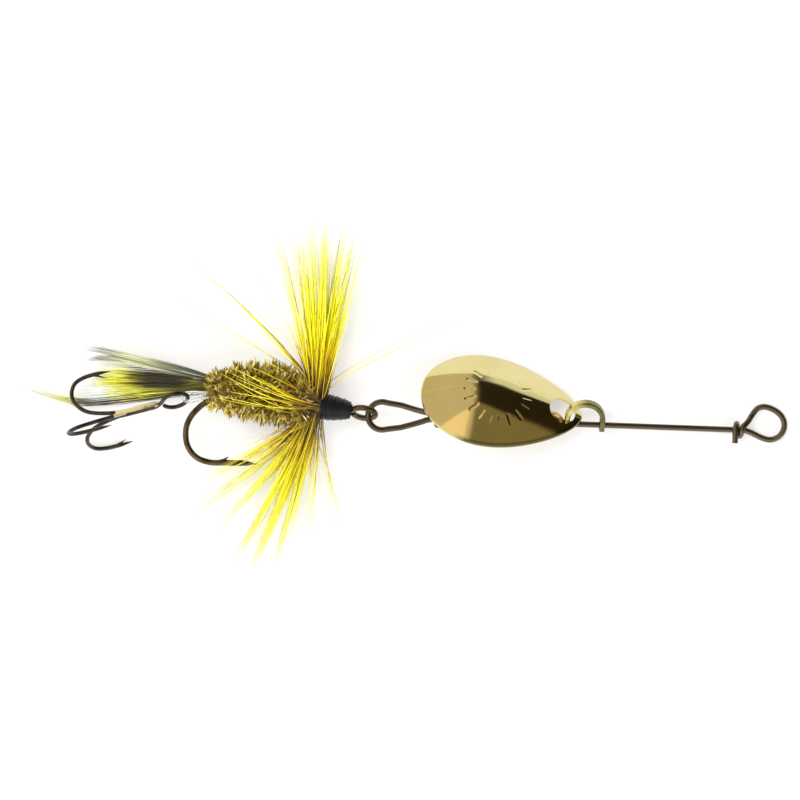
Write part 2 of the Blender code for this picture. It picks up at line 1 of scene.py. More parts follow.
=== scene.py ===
"""Looks of the inline spinner: fine wire work, gold blade, wound thread, chenille and feathers.

Shapes are written in millimetres in the local frame of the part that they belong to:
the shaft's, the fly's, the line loop's or the treble's. Each local frame comes from the joints.
"""
import json
import random
from math import acos, atan2, copysign, cos, degrees, hypot, pi, radians, sin, sqrt

import bmesh
import bpy
from mathutils import Matrix, Vector


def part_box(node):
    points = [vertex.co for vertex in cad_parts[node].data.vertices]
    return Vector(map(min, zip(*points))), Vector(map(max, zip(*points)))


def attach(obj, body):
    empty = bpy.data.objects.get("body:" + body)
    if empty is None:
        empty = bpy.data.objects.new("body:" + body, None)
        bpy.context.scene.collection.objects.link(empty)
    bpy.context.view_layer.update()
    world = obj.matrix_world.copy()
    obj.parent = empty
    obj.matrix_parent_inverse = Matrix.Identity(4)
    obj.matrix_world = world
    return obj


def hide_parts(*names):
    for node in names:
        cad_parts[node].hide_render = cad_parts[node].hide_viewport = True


MM = 0.001
FLY_YAW = -7.0  # degrees, as the fly lies on its link
TREBLE_YAW = 23.4  # degrees from the fly's axis
CLEVIS_MIDDLE_X = -1.54  # the clevis joint, along the shaft

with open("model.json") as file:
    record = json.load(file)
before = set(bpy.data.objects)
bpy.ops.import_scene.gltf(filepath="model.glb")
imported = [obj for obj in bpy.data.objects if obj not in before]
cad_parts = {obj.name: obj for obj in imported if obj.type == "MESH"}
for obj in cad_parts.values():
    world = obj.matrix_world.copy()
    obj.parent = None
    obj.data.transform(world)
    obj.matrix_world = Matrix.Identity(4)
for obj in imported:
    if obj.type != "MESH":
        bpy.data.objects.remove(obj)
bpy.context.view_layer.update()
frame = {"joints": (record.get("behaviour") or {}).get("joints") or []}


# ---- local frames ----
def joint(name):
    """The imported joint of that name."""
    return next(j for j in frame["joints"] if j["name"] == name)


def turned_frame(origin, yaw):
    """Level frame at origin (metres), turned about Z by yaw (degrees)."""
    return Matrix.Translation(Vector(origin)) @ Matrix.Rotation(radians(yaw), 4, "Z")


def shaft_frame():
    """X along the shaft, with its origin at the clevis station."""
    along = Vector(joint("stack_slide")["axis"]).normalized()
    across = Vector((0, 1, 0))
    up = along.cross(across)
    origin = Vector(joint("clevis_spin")["pos_m"]) - along * CLEVIS_MIDDLE_X * MM
    matrix = Matrix((along, across, up)).transposed().to_4x4()
    matrix.translation = origin
    return matrix


SHAFT = shaft_frame()
FLY = turned_frame(joint("fly_swing")["pos_m"], FLY_YAW)
LOOP = turned_frame(joint("loop_flex")["pos_m"], FLY_YAW)
TREBLE = turned_frame(joint("treble_swing")["pos_m"], FLY_YAW + TREBLE_YAW)


# ---- mesh helpers ----
def clamp(value):
    """The value, held between 0 and 1."""
    return min(max(value, 0), 1)


def polar(x, radius, angle):
    """Point at that radius and angle round the X axis."""
    return Vector((x, radius * cos(angle), radius * sin(angle)))


class Shape:
    """Vertices in millimetres and faces, gathered before one mesh is made."""

    def __init__(self):
        self.verts = []
        self.faces = []

    def ring(self, points):
        """Add a row of vertices and return their indices."""
        first = len(self.verts)
        self.verts.extend(Vector(p) for p in points)
        return list(range(first, len(self.verts)))

    def bridge(self, here, there):
        """Quads between two closed rings."""
        count = len(here)
        for k in range(count):
            nxt = (k + 1) % count
            self.faces.append((here[k], here[nxt], there[nxt], there[k]))

    def tube(self, path, radii, sides):
        """Round sweep along path, capped at both ends."""
        if not isinstance(radii, (list, tuple)):
            radii = [radii] * len(path)
        last = len(path) - 1
        normal = None
        rings = []
        for i, point in enumerate(path):
            tangent = (path[min(i + 1, last)] - path[max(i - 1, 0)]).normalized()
            if normal is None:
                normal = tangent.orthogonal()
            normal = (normal - tangent * normal.dot(tangent)).normalized()
            binormal = tangent.cross(normal)
            spots = []
            for k in range(sides):
                angle = 2 * pi * k / sides
                spots.append(point + (normal * cos(angle) + binormal * sin(angle)) * radii[i])
            rings.append(self.ring(spots))
        return self.skin(rings)

    def skin(self, rings):
        """Closed skin over a row of rings, capped at both ends."""
        for here, there in zip(rings, rings[1:]):
            self.bridge(here, there)
        self.faces.append(tuple(reversed(rings[0])))
        self.faces.append(tuple(rings[-1]))
        return self

    def turned(self, profile, segments):
        """Closed profile of (x, radius) points revolved about X."""
        rings = []
        for k in range(segments):
            angle = 2 * pi * k / segments
            rings.append(self.ring([polar(x, r, angle) for x, r in profile]))
        for k in range(segments):
            here = rings[k]
            there = rings[(k + 1) % segments]
            for i in range(len(profile)):
                j = (i + 1) % len(profile)
                self.faces.append((here[i], here[j], there[j], there[i]))
        return self


def smooth_path(points, steps):
    """Catmull-Rom curve through points, with steps spans between neighbours."""
    anchors = [Vector(p) for p in points]
    path = []
    for i in range(len(anchors) - 1):
        before = anchors[max(i - 1, 0)]
        start = anchors[i]
        end = anchors[i + 1]
        after = anchors[min(i + 2, len(anchors) - 1)]
        for k in range(steps):
            t = k / steps
            bend = (2 * before - 5 * start + 4 * end - after) * t * t
            twist = (3 * start - before - 3 * end + after) * t ** 3
            path.append(0.5 * (2 * start + (end - before) * t + bend + twist))
    path.append(anchors[-1])
    return path


def arc_path(start, control, end, steps):
    """Quadratic curve from start to end, pulled towards control."""
    path = []
    for k in range(steps + 1):
        t = k / steps
        path.append(start * (1 - t) ** 2 + control * 2 * t * (1 - t) + end * t * t)
    return path


def make_mesh_object(name, shape, matrix):
    """Object with the shape's mesh, in metres, placed by matrix."""
    mesh = bpy.data.meshes.new(name)
    mesh.from_pydata([v * MM for v in shape.verts], [], shape.faces)
    mesh.validate()
    mesh.update()
    obj = bpy.data.objects.new(name, mesh)
    bpy.context.scene.collection.objects.link(obj)
    obj.matrix_world = matrix
    return obj


def face_outwards(obj):
    """Turn every face of the mesh outwards."""
    work = bmesh.new()
    work.from_mesh(obj.data)
    bmesh.ops.recalc_face_normals(work, faces=work.faces)
    work.to_mesh(obj.data)
    work.free()


def combine(obj, tool, operation):
    """Apply an exact Boolean of tool on obj and remove the tool."""
    step = obj.modifiers.new("cut", "BOOLEAN")
    step.operation = operation
    step.solver = "EXACT"
    step.object = tool
    bpy.context.view_layer.update()
    evaluated = obj.evaluated_get(bpy.context.evaluated_depsgraph_get())
    result = bpy.data.meshes.new_from_object(evaluated)
    obj.modifiers.remove(step)
    obj.data = result
    bpy.data.objects.remove(tool, do_unlink=True)


def add_piece(name, shape, matrix, look, body, slot, nodes=(), sharp=40, join=(), cut=()):
    """Make a piece, join and cut it, smooth it and tie it to its body; look is its material."""
    obj = make_mesh_object(name, shape, matrix)
    face_outwards(obj)
    for operation, others in (("UNION", join), ("DIFFERENCE", cut)):
        for other in others:
            tool = make_mesh_object("tool", other, matrix)
            face_outwards(tool)
            combine(obj, tool, operation)
    obj.data.shade_smooth()
    obj.data.set_sharp_from_angle(angle=radians(sharp))
    obj.data.materials.clear()
    obj.data.materials.append(MATS[look])
    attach(obj, body)
    if nodes:
        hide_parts(*nodes)
    return obj


def add_fine(node, shape, matrix, look, body, slot=None, **options):
    """Piece that takes the place of one CAD node and is named after it."""
    return add_piece(node + "_fine", shape, matrix, look, body, slot or look, [node], **options)


# ---- material helpers ----
class Graph:
    """Node tree of a material or a world, and the few node calls that this script needs."""

    def __init__(self, owner):
        owner.use_nodes = True
        self.nodes = owner.node_tree.nodes
        self.links = owner.node_tree.links
        self.coords = self.nodes.new("ShaderNodeTexCoord")

    def put(self, socket, value):
        """Feed an input from an output socket or a plain value."""
        if isinstance(value, bpy.types.NodeSocket):
            self.links.new(value, socket)
        else:
            socket.default_value = value

    def noise(self, scale, stretch=(1, 1, 1), detail=4.0):
        """Noise value over object space; scale is in cycles per metre."""
        mapping = self.nodes.new("ShaderNodeMapping")
        mapping.inputs["Scale"].default_value = stretch
        self.links.new(self.coords.outputs["Object"], mapping.inputs["Vector"])
        node = self.nodes.new("ShaderNodeTexNoise")
        node.inputs["Scale"].default_value = scale
        node.inputs["Detail"].default_value = detail
        self.links.new(mapping.outputs["Vector"], node.inputs["Vector"])
        return node.outputs["Fac"]

    def island(self):
        """Random value of each separate fibre."""
        return self.nodes.new("ShaderNodeNewGeometry").outputs["Random Per Island"]

    def ramp(self, value, stops):
        """Colour ramp through (position, colour) stops."""
        node = self.nodes.new("ShaderNodeValToRGB")
        ramp = node.color_ramp
        while len(ramp.elements) < len(stops):
            ramp.elements.new(0.5)
        for element, (position, colour) in zip(ramp.elements, stops):
            element.position = position
            element.color = (*colour, 1)
        self.put(node.inputs["Fac"], value)
        return node.outputs["Color"]

    def math(self, operation, a, b=0.0):
        """One math node."""
        node = self.nodes.new("ShaderNodeMath")
        node.operation = operation
        self.put(node.inputs[0], a)
        self.put(node.inputs[1], b)
        return node.outputs[0]

    def remap(self, value, low, high, to_low=0.0, to_high=1.0):
        """Clamped linear map of a value."""
        node = self.nodes.new("ShaderNodeMapRange")
        for socket, number in zip(list(node.inputs)[1:5], (low, high, to_low, to_high)):
            socket.default_value = number
        self.put(node.inputs[0], value)
        return node.outputs[0]

    def mix(self, factor, a, b, kind="MIX"):
        """Colour mix."""
        node = self.nodes.new("ShaderNodeMix")
        node.data_type = "RGBA"
        node.blend_type = kind
        self.put(node.inputs[0], factor)
        self.put(node.inputs[6], a)
        self.put(node.inputs[7], b)
        return node.outputs[2]

    def part(self, output, axis):
        """One axis of the object-space place or normal."""
        split = self.nodes.new("ShaderNodeSeparateXYZ")
        self.links.new(self.coords.outputs[output], split.inputs[0])
        return split.outputs[axis]

    def axis(self, name):
        """Object-space coordinate in millimetres."""
        return self.product(self.part("Object", name), 1 / MM)

    def product(self, *values):
        """Product of two or more values."""
        result = values[0]
        for value in values[1:]:
            result = self.math("MULTIPLY", result, value)
        return result


class Look(Graph):
    """Principled material."""

    def __init__(self, name, roughness, metallic=0.0):
        self.mat = bpy.data.materials.new(name)
        super().__init__(self.mat)
        self.shader = self.nodes["Principled BSDF"]
        self.set(Roughness=roughness, Metallic=metallic)

    def set(self, **values):
        """Values or outputs for the shader's own sockets; underscores stand for spaces."""
        for key, value in values.items():
            self.put(self.shader.inputs[key.replace("_", " ")], value)

    def bump(self, height, strength, distance_mm):
        """Bump on the shader's normal."""
        node = self.nodes.new("ShaderNodeBump")
        node.inputs["Strength"].default_value = strength
        node.inputs["Distance"].default_value = distance_mm * MM
        self.links.new(height, node.inputs["Height"])
        self.set(Normal=node.outputs["Normal"])


def metal(name, dark, light, gloss, grain, stretch=(1, 1, 1)):
    """Metal with uneven tone, roughness between the two of gloss and a fine surface grain."""
    g = Look(name, gloss[0], 1)
    tone = g.noise(900, stretch)
    fine = g.noise(grain, stretch, detail=6.0)
    g.set(Base_Color=g.ramp(tone, [(0.3, dark), (0.72, light)]))
    g.set(Roughness=g.remap(fine, 0.3, 0.7, *gloss))
    g.bump(fine, 0.15, distance_mm=0.012)
    return g.mat


def noisy(name, roughness, scale, stops, metallic=0.0, stretch=(1, 1, 1), detail=4.0, bump=None, **values):
    """Material whose one noise drives its tone and its bump of (strength, millimetres)."""
    g = Look(name, roughness, metallic)
    tone = g.noise(scale, stretch, detail)
    g.set(Base_Color=g.ramp(tone, stops))
    if bump:
        g.bump(tone, *bump)
    g.set(**values)
    return g.mat


def hackle_material(name, stops, dark_share):
    """Feather fibres that go from amber at the collar to yellow and pale tips; some are dark."""
    g = Look(name, 0.5)
    collar = g.nodes.new("ShaderNodeVectorMath")
    collar.operation = "DISTANCE"
    g.links.new(g.coords.outputs["Object"], collar.inputs[0])
    collar.inputs[1].default_value = ((COLLAR_FRONT + COLLAR_REAR) / 2 * MM, 0, 0)
    reach = g.product(collar.outputs["Value"], 1 / MM)
    tone = g.island()
    unevenness = 4.6  # millimetres
    uneven = g.math("ADD", reach, g.product(g.math("SUBTRACT", tone, 0.5), unevenness))
    body = g.ramp(g.remap(uneven, 0.8, FIBRE_REACH), stops)
    shade = g.ramp(tone, [(0, (0.8, 0.72, 0.6)), (0.35, (1, 1, 1)), (1, (1.06, 1.1, 1.8))])
    coloured = g.mix(1, body, shade, "MULTIPLY")
    flicker = g.math("FRACT", g.product(tone, 37.7))
    is_dark = g.math("LESS_THAN", flicker, dark_share)
    bars = g.noise(600, detail=2.0)
    dark = g.ramp(bars, [(0.45, (0.035, 0.025, 0.008)), (0.62, (0.42, 0.33, 0.02))])
    g.set(Base_Color=g.mix(is_dark, coloured, dark))
    g.set(Sheen_Weight=0.15, Sheen_Roughness=0.4, Specular_IOR_Level=0.35)
    return g.mat


def strand_material(name, rear, front, stops):
    """Long soft fibres whose colour changes from their tips at rear to their roots at front."""
    g = Look(name, 0.55)
    wobble = g.noise(380, (0.4, 1, 1), detail=3.0)
    tone = g.island()
    by_noise = 2.24  # millimetres that the colours shift
    by_fibre = 2.4
    shift = g.math("ADD", g.product(wobble, by_noise), g.product(tone, by_fibre))
    place = g.math("SUBTRACT", g.math("ADD", g.axis("X"), shift), (by_noise + by_fibre) / 2)
    body = g.ramp(g.remap(place, rear, front), stops)
    flicker = g.math("FRACT", g.product(tone, 23.3))
    shade = g.ramp(flicker, [
        (0, (0.45, 0.45, 0.45)), (0.2, (0.95, 0.95, 0.9)), (1, (1.35, 1.38, 1.4)),
    ])
    g.set(Base_Color=g.mix(1, body, shade, "MULTIPLY"))
    g.set(Sheen_Weight=0.15, Sheen_Roughness=0.4, Specular_IOR_Level=0.3)
    return g.mat


# ---- materials ----
COLLAR_FRONT = -6.05  # the hackle's wound stem
COLLAR_REAR = -7.35
FIBRE_REACH = 18.0  # of the hackle, from the collar


def gold_plate():
    """Hazy gold plate; on the raised side of its rim, from the front to past the middle, a painted dark
    reflection darkens the gold.
    """
    g = Look("gold_plate", 0.06, 1)
    haze = g.noise(260, detail=3.0)
    fine = g.noise(9000, detail=5.0)
    plate = g.ramp(haze, [(0.3, (0.64, 0.57, 0.25)), (0.7, (0.7, 0.63, 0.31))])
    rim = g.remap(g.axis("Z"), 0.02, 0.22, 1, 0)
    raised_side = g.remap(g.axis("Y"), -1, 0, 1, 0)
    front_part = g.remap(g.axis("X"), -12.6, -11.4)
    outside = g.remap(g.part("Normal", "Z"), -0.7, -0.4)
    # painted dark reflection: a dark colour mixed into the raised, outward-facing side of the rim
    painted_dark_reflection = g.product(rim, raised_side, front_part, outside)
    g.set(Base_Color=g.mix(painted_dark_reflection, plate, (0.15, 0.13, 0.045, 1)))
    g.set(Roughness=g.remap(fine, 0.3, 0.7, 0.05, 0.13))
    g.bump(fine, 0.04, distance_mm=0.01)
    return g.mat


def gold_strap():
    """Worn gold of the clevis: a painted highlight brightens its rear leg, near the blade; dull elsewhere.
    """
    g = Look("gold_strap", 0.22, 1)
    worn = g.noise(1400)
    dull = g.ramp(worn, [(0.3, (0.123, 0.112, 0.042)), (0.7, (0.26, 0.24, 0.11))])
    # painted highlight: bright gold mixed in along the rear leg, near the blade
    highlight_gold = g.ramp(worn, [(0.3, (0.62, 0.54, 0.18)), (0.7, (0.86, 0.77, 0.34))])
    painted_highlight = g.remap(g.axis("X"), -2.9, -1.3, 1, 0)
    g.set(Base_Color=g.mix(painted_highlight, dull, highlight_gold))
    g.set(Roughness=g.remap(worn, 0.3, 0.7, 0.16, 0.3))
    return g.mat


def gold_chenille():
    """Antique gold tinsel; each flake has its own tone."""
    g = Look("gold_chenille", 0.3, 0.25)
    g.set(Base_Color=g.ramp(g.island(), [
        (0, (0.065, 0.044, 0.006)), (0.26, (0.21, 0.15, 0.015)), (0.56, (0.47, 0.355, 0.045)),
        (0.8, (0.78, 0.63, 0.15)), (1, (1, 0.94, 0.54)),
    ]))
    g.set(Roughness=g.remap(g.noise(3000), 0.3, 0.7, 0.25, 0.5))
    return g.mat


def make_materials():
    """Every material by its name, without the number that Blender gives to a name in use."""
    made = [
        metal("spring_wire", (0.1, 0.085, 0.062), (0.24, 0.205, 0.15), (0.24, 0.4), 9000, (0.06, 1, 1)),
        metal("bead_brass", (0.52, 0.34, 0.11), (0.8, 0.6, 0.25), (0.16, 0.32), 7000),
        metal("hook_bronze", (0.055, 0.043, 0.026), (0.22, 0.175, 0.1), (0.28, 0.46), 8000),
        metal("hook_black", (0.035, 0.032, 0.03), (0.13, 0.115, 0.1), (0.22, 0.42), 8000),
        gold_plate(),
        gold_strap(),
        gold_chenille(),
        # braze colour that is also a painted highlight; it goes on the lit side of the treble's shank only
        noisy("braze_and_painted_highlight", 0.28, 1500, [(0.3, (0.5, 0.4, 0.22)), (0.44, (0.98, 0.9, 0.64))],
              metallic=1.0, detail=3.0),
        noisy("black_thread", 0.25, 5000, [(0.3, (0.003, 0.003, 0.004)), (0.8, (0.01, 0.01, 0.012))],
              bump=(0.3, 0.02), Coat_Weight=0.35, Coat_Roughness=0.12, Specular_IOR_Level=0.18),
        noisy("under_thread", 0.6, 5000, [(0.3, (0.16, 0.12, 0.02)), (0.7, (0.34, 0.27, 0.06))],
              stretch=(6, 1, 1), detail=3.0, bump=(0.5, 0.03)),
        noisy("chenille_core", 0.7, 1800, [(0.3, (0.06, 0.04, 0.006)), (0.7, (0.22, 0.155, 0.02))],
              bump=(0.6, 0.08)),
        noisy("clear_line", 0.08, 1500, [(0.3, (0.86, 0.9, 0.92)), (0.7, (0.96, 0.98, 0.98))],
              Transmission_Weight=0.85, IOR=1.53),
        hackle_material("yellow_hackle", [
            (0, (0.05, 0.026, 0.005)), (0.09, (0.17, 0.095, 0.008)), (0.19, (0.52, 0.34, 0.006)),
            (0.32, (0.86, 0.73, 0.004)), (0.46, (0.95, 0.94, 0.01)), (1, (0.96, 0.97, 0.16)),
        ], dark_share=0.085),
        strand_material("grizzly_feather", -31, -17, [
            (0, (0.1, 0.1, 0.09)), (0.14, (0.2, 0.21, 0.18)), (0.32, (0.66, 0.7, 0.46)),
            (0.48, (0.6, 0.64, 0.42)), (0.6, (0.26, 0.28, 0.17)), (0.76, (0.085, 0.09, 0.07)),
            (1, (0.1, 0.1, 0.04)),
        ]),
        strand_material("olive_feather", -30.5, -17, [
            (0, (0.66, 0.7, 0.54)), (0.12, (0.88, 0.9, 0.24)), (0.27, (0.88, 0.88, 0.04)),
            (0.36, (0.38, 0.34, 0.02)), (0.44, (0.04, 0.03, 0.006)), (0.76, (0.026, 0.021, 0.005)),
            (0.86, (0.2, 0.19, 0.02)), (1, (0.05, 0.05, 0.01)),
        ]),
        strand_material("yellow_feather", -31, -17, [
            (0, (0.93, 0.96, 0.98)), (0.24, (0.95, 0.98, 0.98)), (0.3, (0.86, 0.88, 0.26)),
            (0.5, (0.78, 0.78, 0.06)), (0.6, (0.2, 0.19, 0.02)), (1, (0.05, 0.045, 0.008)),
        ]),
        strand_material("dark_feather", -31.5, -17, [
            (0, (0.16, 0.14, 0.1)), (0.25, (0.12, 0.1, 0.07)), (0.5, (0.045, 0.04, 0.016)),
            (0.8, (0.03, 0.026, 0.008)), (1, (0.05, 0.045, 0.01)),
        ]),
        strand_material("long_feather", -36.3, -20, [
            (0, (0.3, 0.3, 0.26)), (0.12, (0.6, 0.62, 0.4)), (0.28, (0.72, 0.76, 0.22)),
            (0.42, (0.14, 0.13, 0.06)), (1, (0.05, 0.045, 0.015)),
        ]),
    ]
    return {mat.name.split(".")[0]: mat for mat in made}


MATS = make_materials()


# ---- shaft wire ----
WIRE_R = 0.3
WRAP_R = 0.61
WRAP_PITCH = 0.66
REAR_TURNS = 2
FRONT_TURNS = 1
FRONT_WRAP_X = 14.28
REAR_WRAP_X = -16.45
REAR_LOOP_X = -21.85
REAR_LOOP_R = 1.4
SHAFT_RUN = 31.0  # straight wire from the rear wraps to the line tie
TAG_LENGTH = 1.35


def wraps(start_x, direction, turns):
    """Helix round the shaft."""
    points = []
    per_turn = 24
    for k in range(per_turn * turns + 1):
        angle = pi / 2 + 2 * pi * k / per_turn
        x = start_x + direction * WRAP_PITCH * k / per_turn
        points.append(polar(x, WRAP_R, angle))
    return points


def line_tie():
    """Front loop, from the shaft round to the start of the wraps."""
    anchors = [
        (14.6, 0, 0), (15.35, -0.26, 0), (16.4, -0.71, 0), (17.25, -0.86, 0),
        (18.05, -0.55, 0), (18.5, 0.06, 0), (18.6, 0.82, 0), (18.26, 1.57, 0),
        (17.55, 2.12, 0), (16.62, 2.41, 0), (15.88, 2.24, 0), (15.36, 1.62, 0.06),
        (14.92, 0.92, 0.32), (FRONT_WRAP_X + 0.08, 0.3, 0.585),
    ]
    return smooth_path(anchors, 6)[:-1]


def rear_loop():
    """Teardrop at the rear end."""
    points = smooth_path([
        (REAR_WRAP_X + 0.02, 0.3, 0.575), (REAR_WRAP_X - 0.6, 0.54, 0.34),
        (REAR_WRAP_X - 1.9, 0.82, 0.06), (REAR_WRAP_X - 3.5, 1.25, 0),
    ], 5)
    first = radians(72)
    last = radians(288)
    for k in range(31):
        angle = first + (last - first) * k / 30
        x = REAR_LOOP_X + REAR_LOOP_R * cos(angle)
        points.append(Vector((x, 0.12 + REAR_LOOP_R * sin(angle), 0)))
    points += smooth_path([
        (REAR_WRAP_X - 3.5, -0.98, 0), (REAR_WRAP_X - 1.8, -0.46, 0),
        (REAR_WRAP_X - 0.75, -0.1, 0), (REAR_WRAP_X + 0.1, 0, 0),
    ], 5)
    return points


def build_shaft():
    """The one bent wire that everything else hangs on."""
    front = wraps(FRONT_WRAP_X, -1, FRONT_TURNS)
    tag = front[-1] + Vector((0, -TAG_LENGTH, 0))
    tail = front[-1] + Vector((0, -0.5, 0))
    path = list(reversed(wraps(REAR_WRAP_X, 1, REAR_TURNS))) + rear_loop()
    path += [Vector((REAR_WRAP_X + SHAFT_RUN * k / 12, 0, 0)) for k in range(1, 12)]
    path += line_tie() + front + [tail, tag]
    add_fine("shaft_wire", Shape().tube(path, WIRE_R, 20), SHAFT, "spring_wire", "shaft")


# ---- beads and weight ----
BEAD_R = 1.19
BORE_R = 0.42
WEIGHT_R = 1.05
WEIGHT_TAPER = 0.2  # how much thinner its ends are
WEIGHT_PLAY = 0.12  # shorter than its room in the stack
GROOVE_PLACE = 0.72  # two turned grooves, as a share of its half length
GROOVE_DEPTH = 0.05


def stack_piece(name, profile, joint_name):
    """Turned brass piece on the shaft, at the place of its joint."""
    place = SHAFT.copy()
    place.translation = Vector(joint(joint_name)["pos_m"])
    add_fine(name, Shape().turned(profile, 48), place, "bead_brass", name)


def build_stack():
    """Two drilled balls and the barrel weight between them."""
    half = sqrt(BEAD_R ** 2 - BORE_R ** 2)
    limit = acos(half / BEAD_R)
    profile = []
    for k in range(25):
        angle = pi - limit - (pi - 2 * limit) * k / 24
        profile.append((BEAD_R * cos(angle), BEAD_R * sin(angle)))
    stack_piece("rear_bead", profile, "stack_slide")
    stack_piece("bearing_bead", profile, "bead_spin")
    low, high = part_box("weight_body")
    along = SHAFT.to_3x3().col[0]
    length = (high[0] - low[0]) / MM / along.x - WEIGHT_PLAY
    profile = [(-length / 2, BORE_R)]
    for k in range(41):
        t = 2 * k / 40 - 1
        radius = WEIGHT_R - WEIGHT_TAPER * t * t
        groove = GROOVE_DEPTH * max(0.0, 1 - abs(abs(t) - GROOVE_PLACE) / 0.05)
        profile.append((length / 2 * t, radius - groove))
    profile.append((length / 2, BORE_R))
    stack_piece("weight_body", profile, "weight_spin")


# ---- clevis ----
CLEVIS_ROLL = 58.0
CLEVIS_FRONT = 0.51
CLEVIS_WIDTH = 4.1
CLEVIS_SHEET = 0.55
CLEVIS_ARC_Z = 0.68
CLEVIS_FOOT = 0.56
CLEVIS_BOW_W = 0.95
CLEVIS_FOOT_W = 1.3
CLEVIS_SQUARE = 0.45  # power that squares the strap's section
LEG_BORE_R = 0.4


def squared(value):
    """Sine or cosine pushed out towards 1, for a rounded square section."""
    return copysign(abs(value) ** CLEVIS_SQUARE, value)


def build_clevis():
    """Strap with rounded edges, widened round its two bores."""
    arc_r = CLEVIS_WIDTH / 2 - CLEVIS_SHEET / 2
    middle = CLEVIS_FRONT - CLEVIS_WIDTH / 2
    legs = (-CLEVIS_FOOT, -0.52, -0.4, -0.2, 0, 0.2, 0.4, 0.58)
    path = [(middle + arc_r, z) for z in legs]
    for k in range(41):
        angle = pi * k / 40
        path.append((middle + arc_r * cos(angle), CLEVIS_ARC_Z + arc_r * sin(angle)))
    path += [(middle - arc_r, z) for z in reversed(legs)]
    shape = Shape()
    rings = []
    last = len(path) - 1
    for i, (x, z) in enumerate(path):
        ahead = path[min(i + 1, last)]
        behind = path[max(i - 1, 0)]
        along = Vector((ahead[0] - behind[0], 0, ahead[1] - behind[1])).normalized()
        out = Vector((along.z, 0, -along.x))
        rise = clamp((z - 0.4) / 0.7)
        rise = rise * rise * (3 - 2 * rise)
        half = (CLEVIS_FOOT_W + (CLEVIS_BOW_W - CLEVIS_FOOT_W) * rise) / 2
        foot = min((z + CLEVIS_FOOT) / 0.4, 1)
        half *= 0.7 + 0.3 * sin(pi / 2 * foot)
        spots = []
        for k in range(16):
            angle = 2 * pi * (k + 0.5) / 16
            across = squared(sin(angle)) * half
            through = squared(cos(angle)) * CLEVIS_SHEET / 2
            spots.append(Vector((x, 0, z)) + out * through + Vector((0, across, 0)))
        rings.append(shape.ring(spots))
    shape.skin(rings)
    drill = Shape().tube([Vector((-5, 0, 0)), Vector((2, 0, 0))], LEG_BORE_R, 28)
    place = SHAFT @ Matrix.Rotation(radians(-CLEVIS_ROLL), 4, "X")
    add_fine("clevis", shape, place, "gold_strap", "clevis", "gold_plate", cut=[drill])


# ---- blade ----
BLADE_LENGTH = 16.3
BLADE_HALF_WIDTH = 5.12
BLADE_CROWN_S = 9.0
BLADE_DOME = 2.0
BLADE_SHEET = 0.42
BLADE_WIDEST = 1.357  # power that puts the widest section behind the middle
BLADE_FULLNESS = 0.44
BLADE_HOLE_S = 2.1
BLADE_HOLE_R = 1.38
BLADE_TIP = (-1.85, 0.74, 0.49)
BLADE_TURNS = ((-7.8, "Z"), (0.6, "Y"), (-30, "X"))
RIM_DROPS = (0.1, 0.32)  # the rim's two rings, below the dome's foot
RIM_SPREAD = 1.004
STAMP_STROKES = 18
STAMP_RADIUS = 2.95
STAMP_HALF_LENGTH = 0.6
STAMP_HALF_WIDTH = 0.17
STAMP_DEPTH = 0.036


def stamp_height(x, y):
    """Height of a plain ring of short radial strokes round the crown; it is below zero."""
    dx = x + BLADE_CROWN_S - 0.2
    spread = hypot(dx, y)
    ends = 1 - abs(spread - STAMP_RADIUS) / STAMP_HALF_LENGTH
    if ends <= 0:
        return 0.0
    turn = atan2(y, dx) / (2 * pi) * STAMP_STROKES
    off = (turn - round(turn)) * 2 * pi * spread / STAMP_STROKES
    across = max(0.0, 1 - (off / STAMP_HALF_WIDTH) ** 2)
    return -STAMP_DEPTH * across * min(ends * 3, 1)


def blade_outline(steps):
    """Teardrop outline as (distance from the tip, offset) points."""
    points = []
    for k in range(steps):
        turn = 2 * pi * k / steps
        u = (1 - cos(turn)) / 2
        swell = max(sin(pi * u ** BLADE_WIDEST), 0) ** BLADE_FULLNESS
        side = 1 if turn < pi else -1
        points.append((BLADE_LENGTH * u, side * BLADE_HALF_WIDTH * swell))
    return points


def build_blade():
    """Domed gold sheet with a rounded rim, its hole and a plain stamped ring."""
    outline = blade_outline(288)
    rings = [k / 84 for k in range(1, 84)]
    shape = Shape()
    layers = []
    for drop in (0, BLADE_SHEET):
        layer = []
        stamp = 1.0 if drop == 0.0 else 0.6
        crown_height = BLADE_DOME - drop + stamp * stamp_height(-BLADE_CROWN_S, 0)
        crown = shape.ring([(-BLADE_CROWN_S, 0, crown_height)])[0]
        for r in rings + [0.996]:
            spots = []
            for s, y in outline:
                x = -(BLADE_CROWN_S + (s - BLADE_CROWN_S) * r)
                height = BLADE_DOME * (1 - r * r) - drop + stamp * stamp_height(x, y * r)
                spots.append((x, y * r, height))
            layer.append(shape.ring(spots))
        layers.append((crown, layer))
    for crown, layer in layers:
        count = len(outline)
        for k in range(count):
            shape.faces.append((crown, layer[0][k], layer[0][(k + 1) % count]))
        for here, there in zip(layer, layer[1:]):
            shape.bridge(here, there)
    rim = []
    for drop in RIM_DROPS:
        rim.append(shape.ring([
            (-(BLADE_CROWN_S + (s - BLADE_CROWN_S) * RIM_SPREAD), y * RIM_SPREAD, -drop) for s, y in outline
        ]))
    shape.bridge(layers[0][1][-1], rim[0])
    shape.bridge(rim[0], rim[1])
    shape.bridge(rim[1], layers[1][1][-1])
    punch = Shape().tube([Vector((-BLADE_HOLE_S, 0, z)) for z in (-2, 4)], BLADE_HOLE_R, 48)
    place = SHAFT @ Matrix.Translation(Vector(BLADE_TIP) * MM)
    for turn, axis in BLADE_TURNS:
        place = place @ Matrix.Rotation(radians(turn), 4, axis)
    add_fine("blade", shape, place, "gold_plate", "blade", sharp=50, cut=[punch])


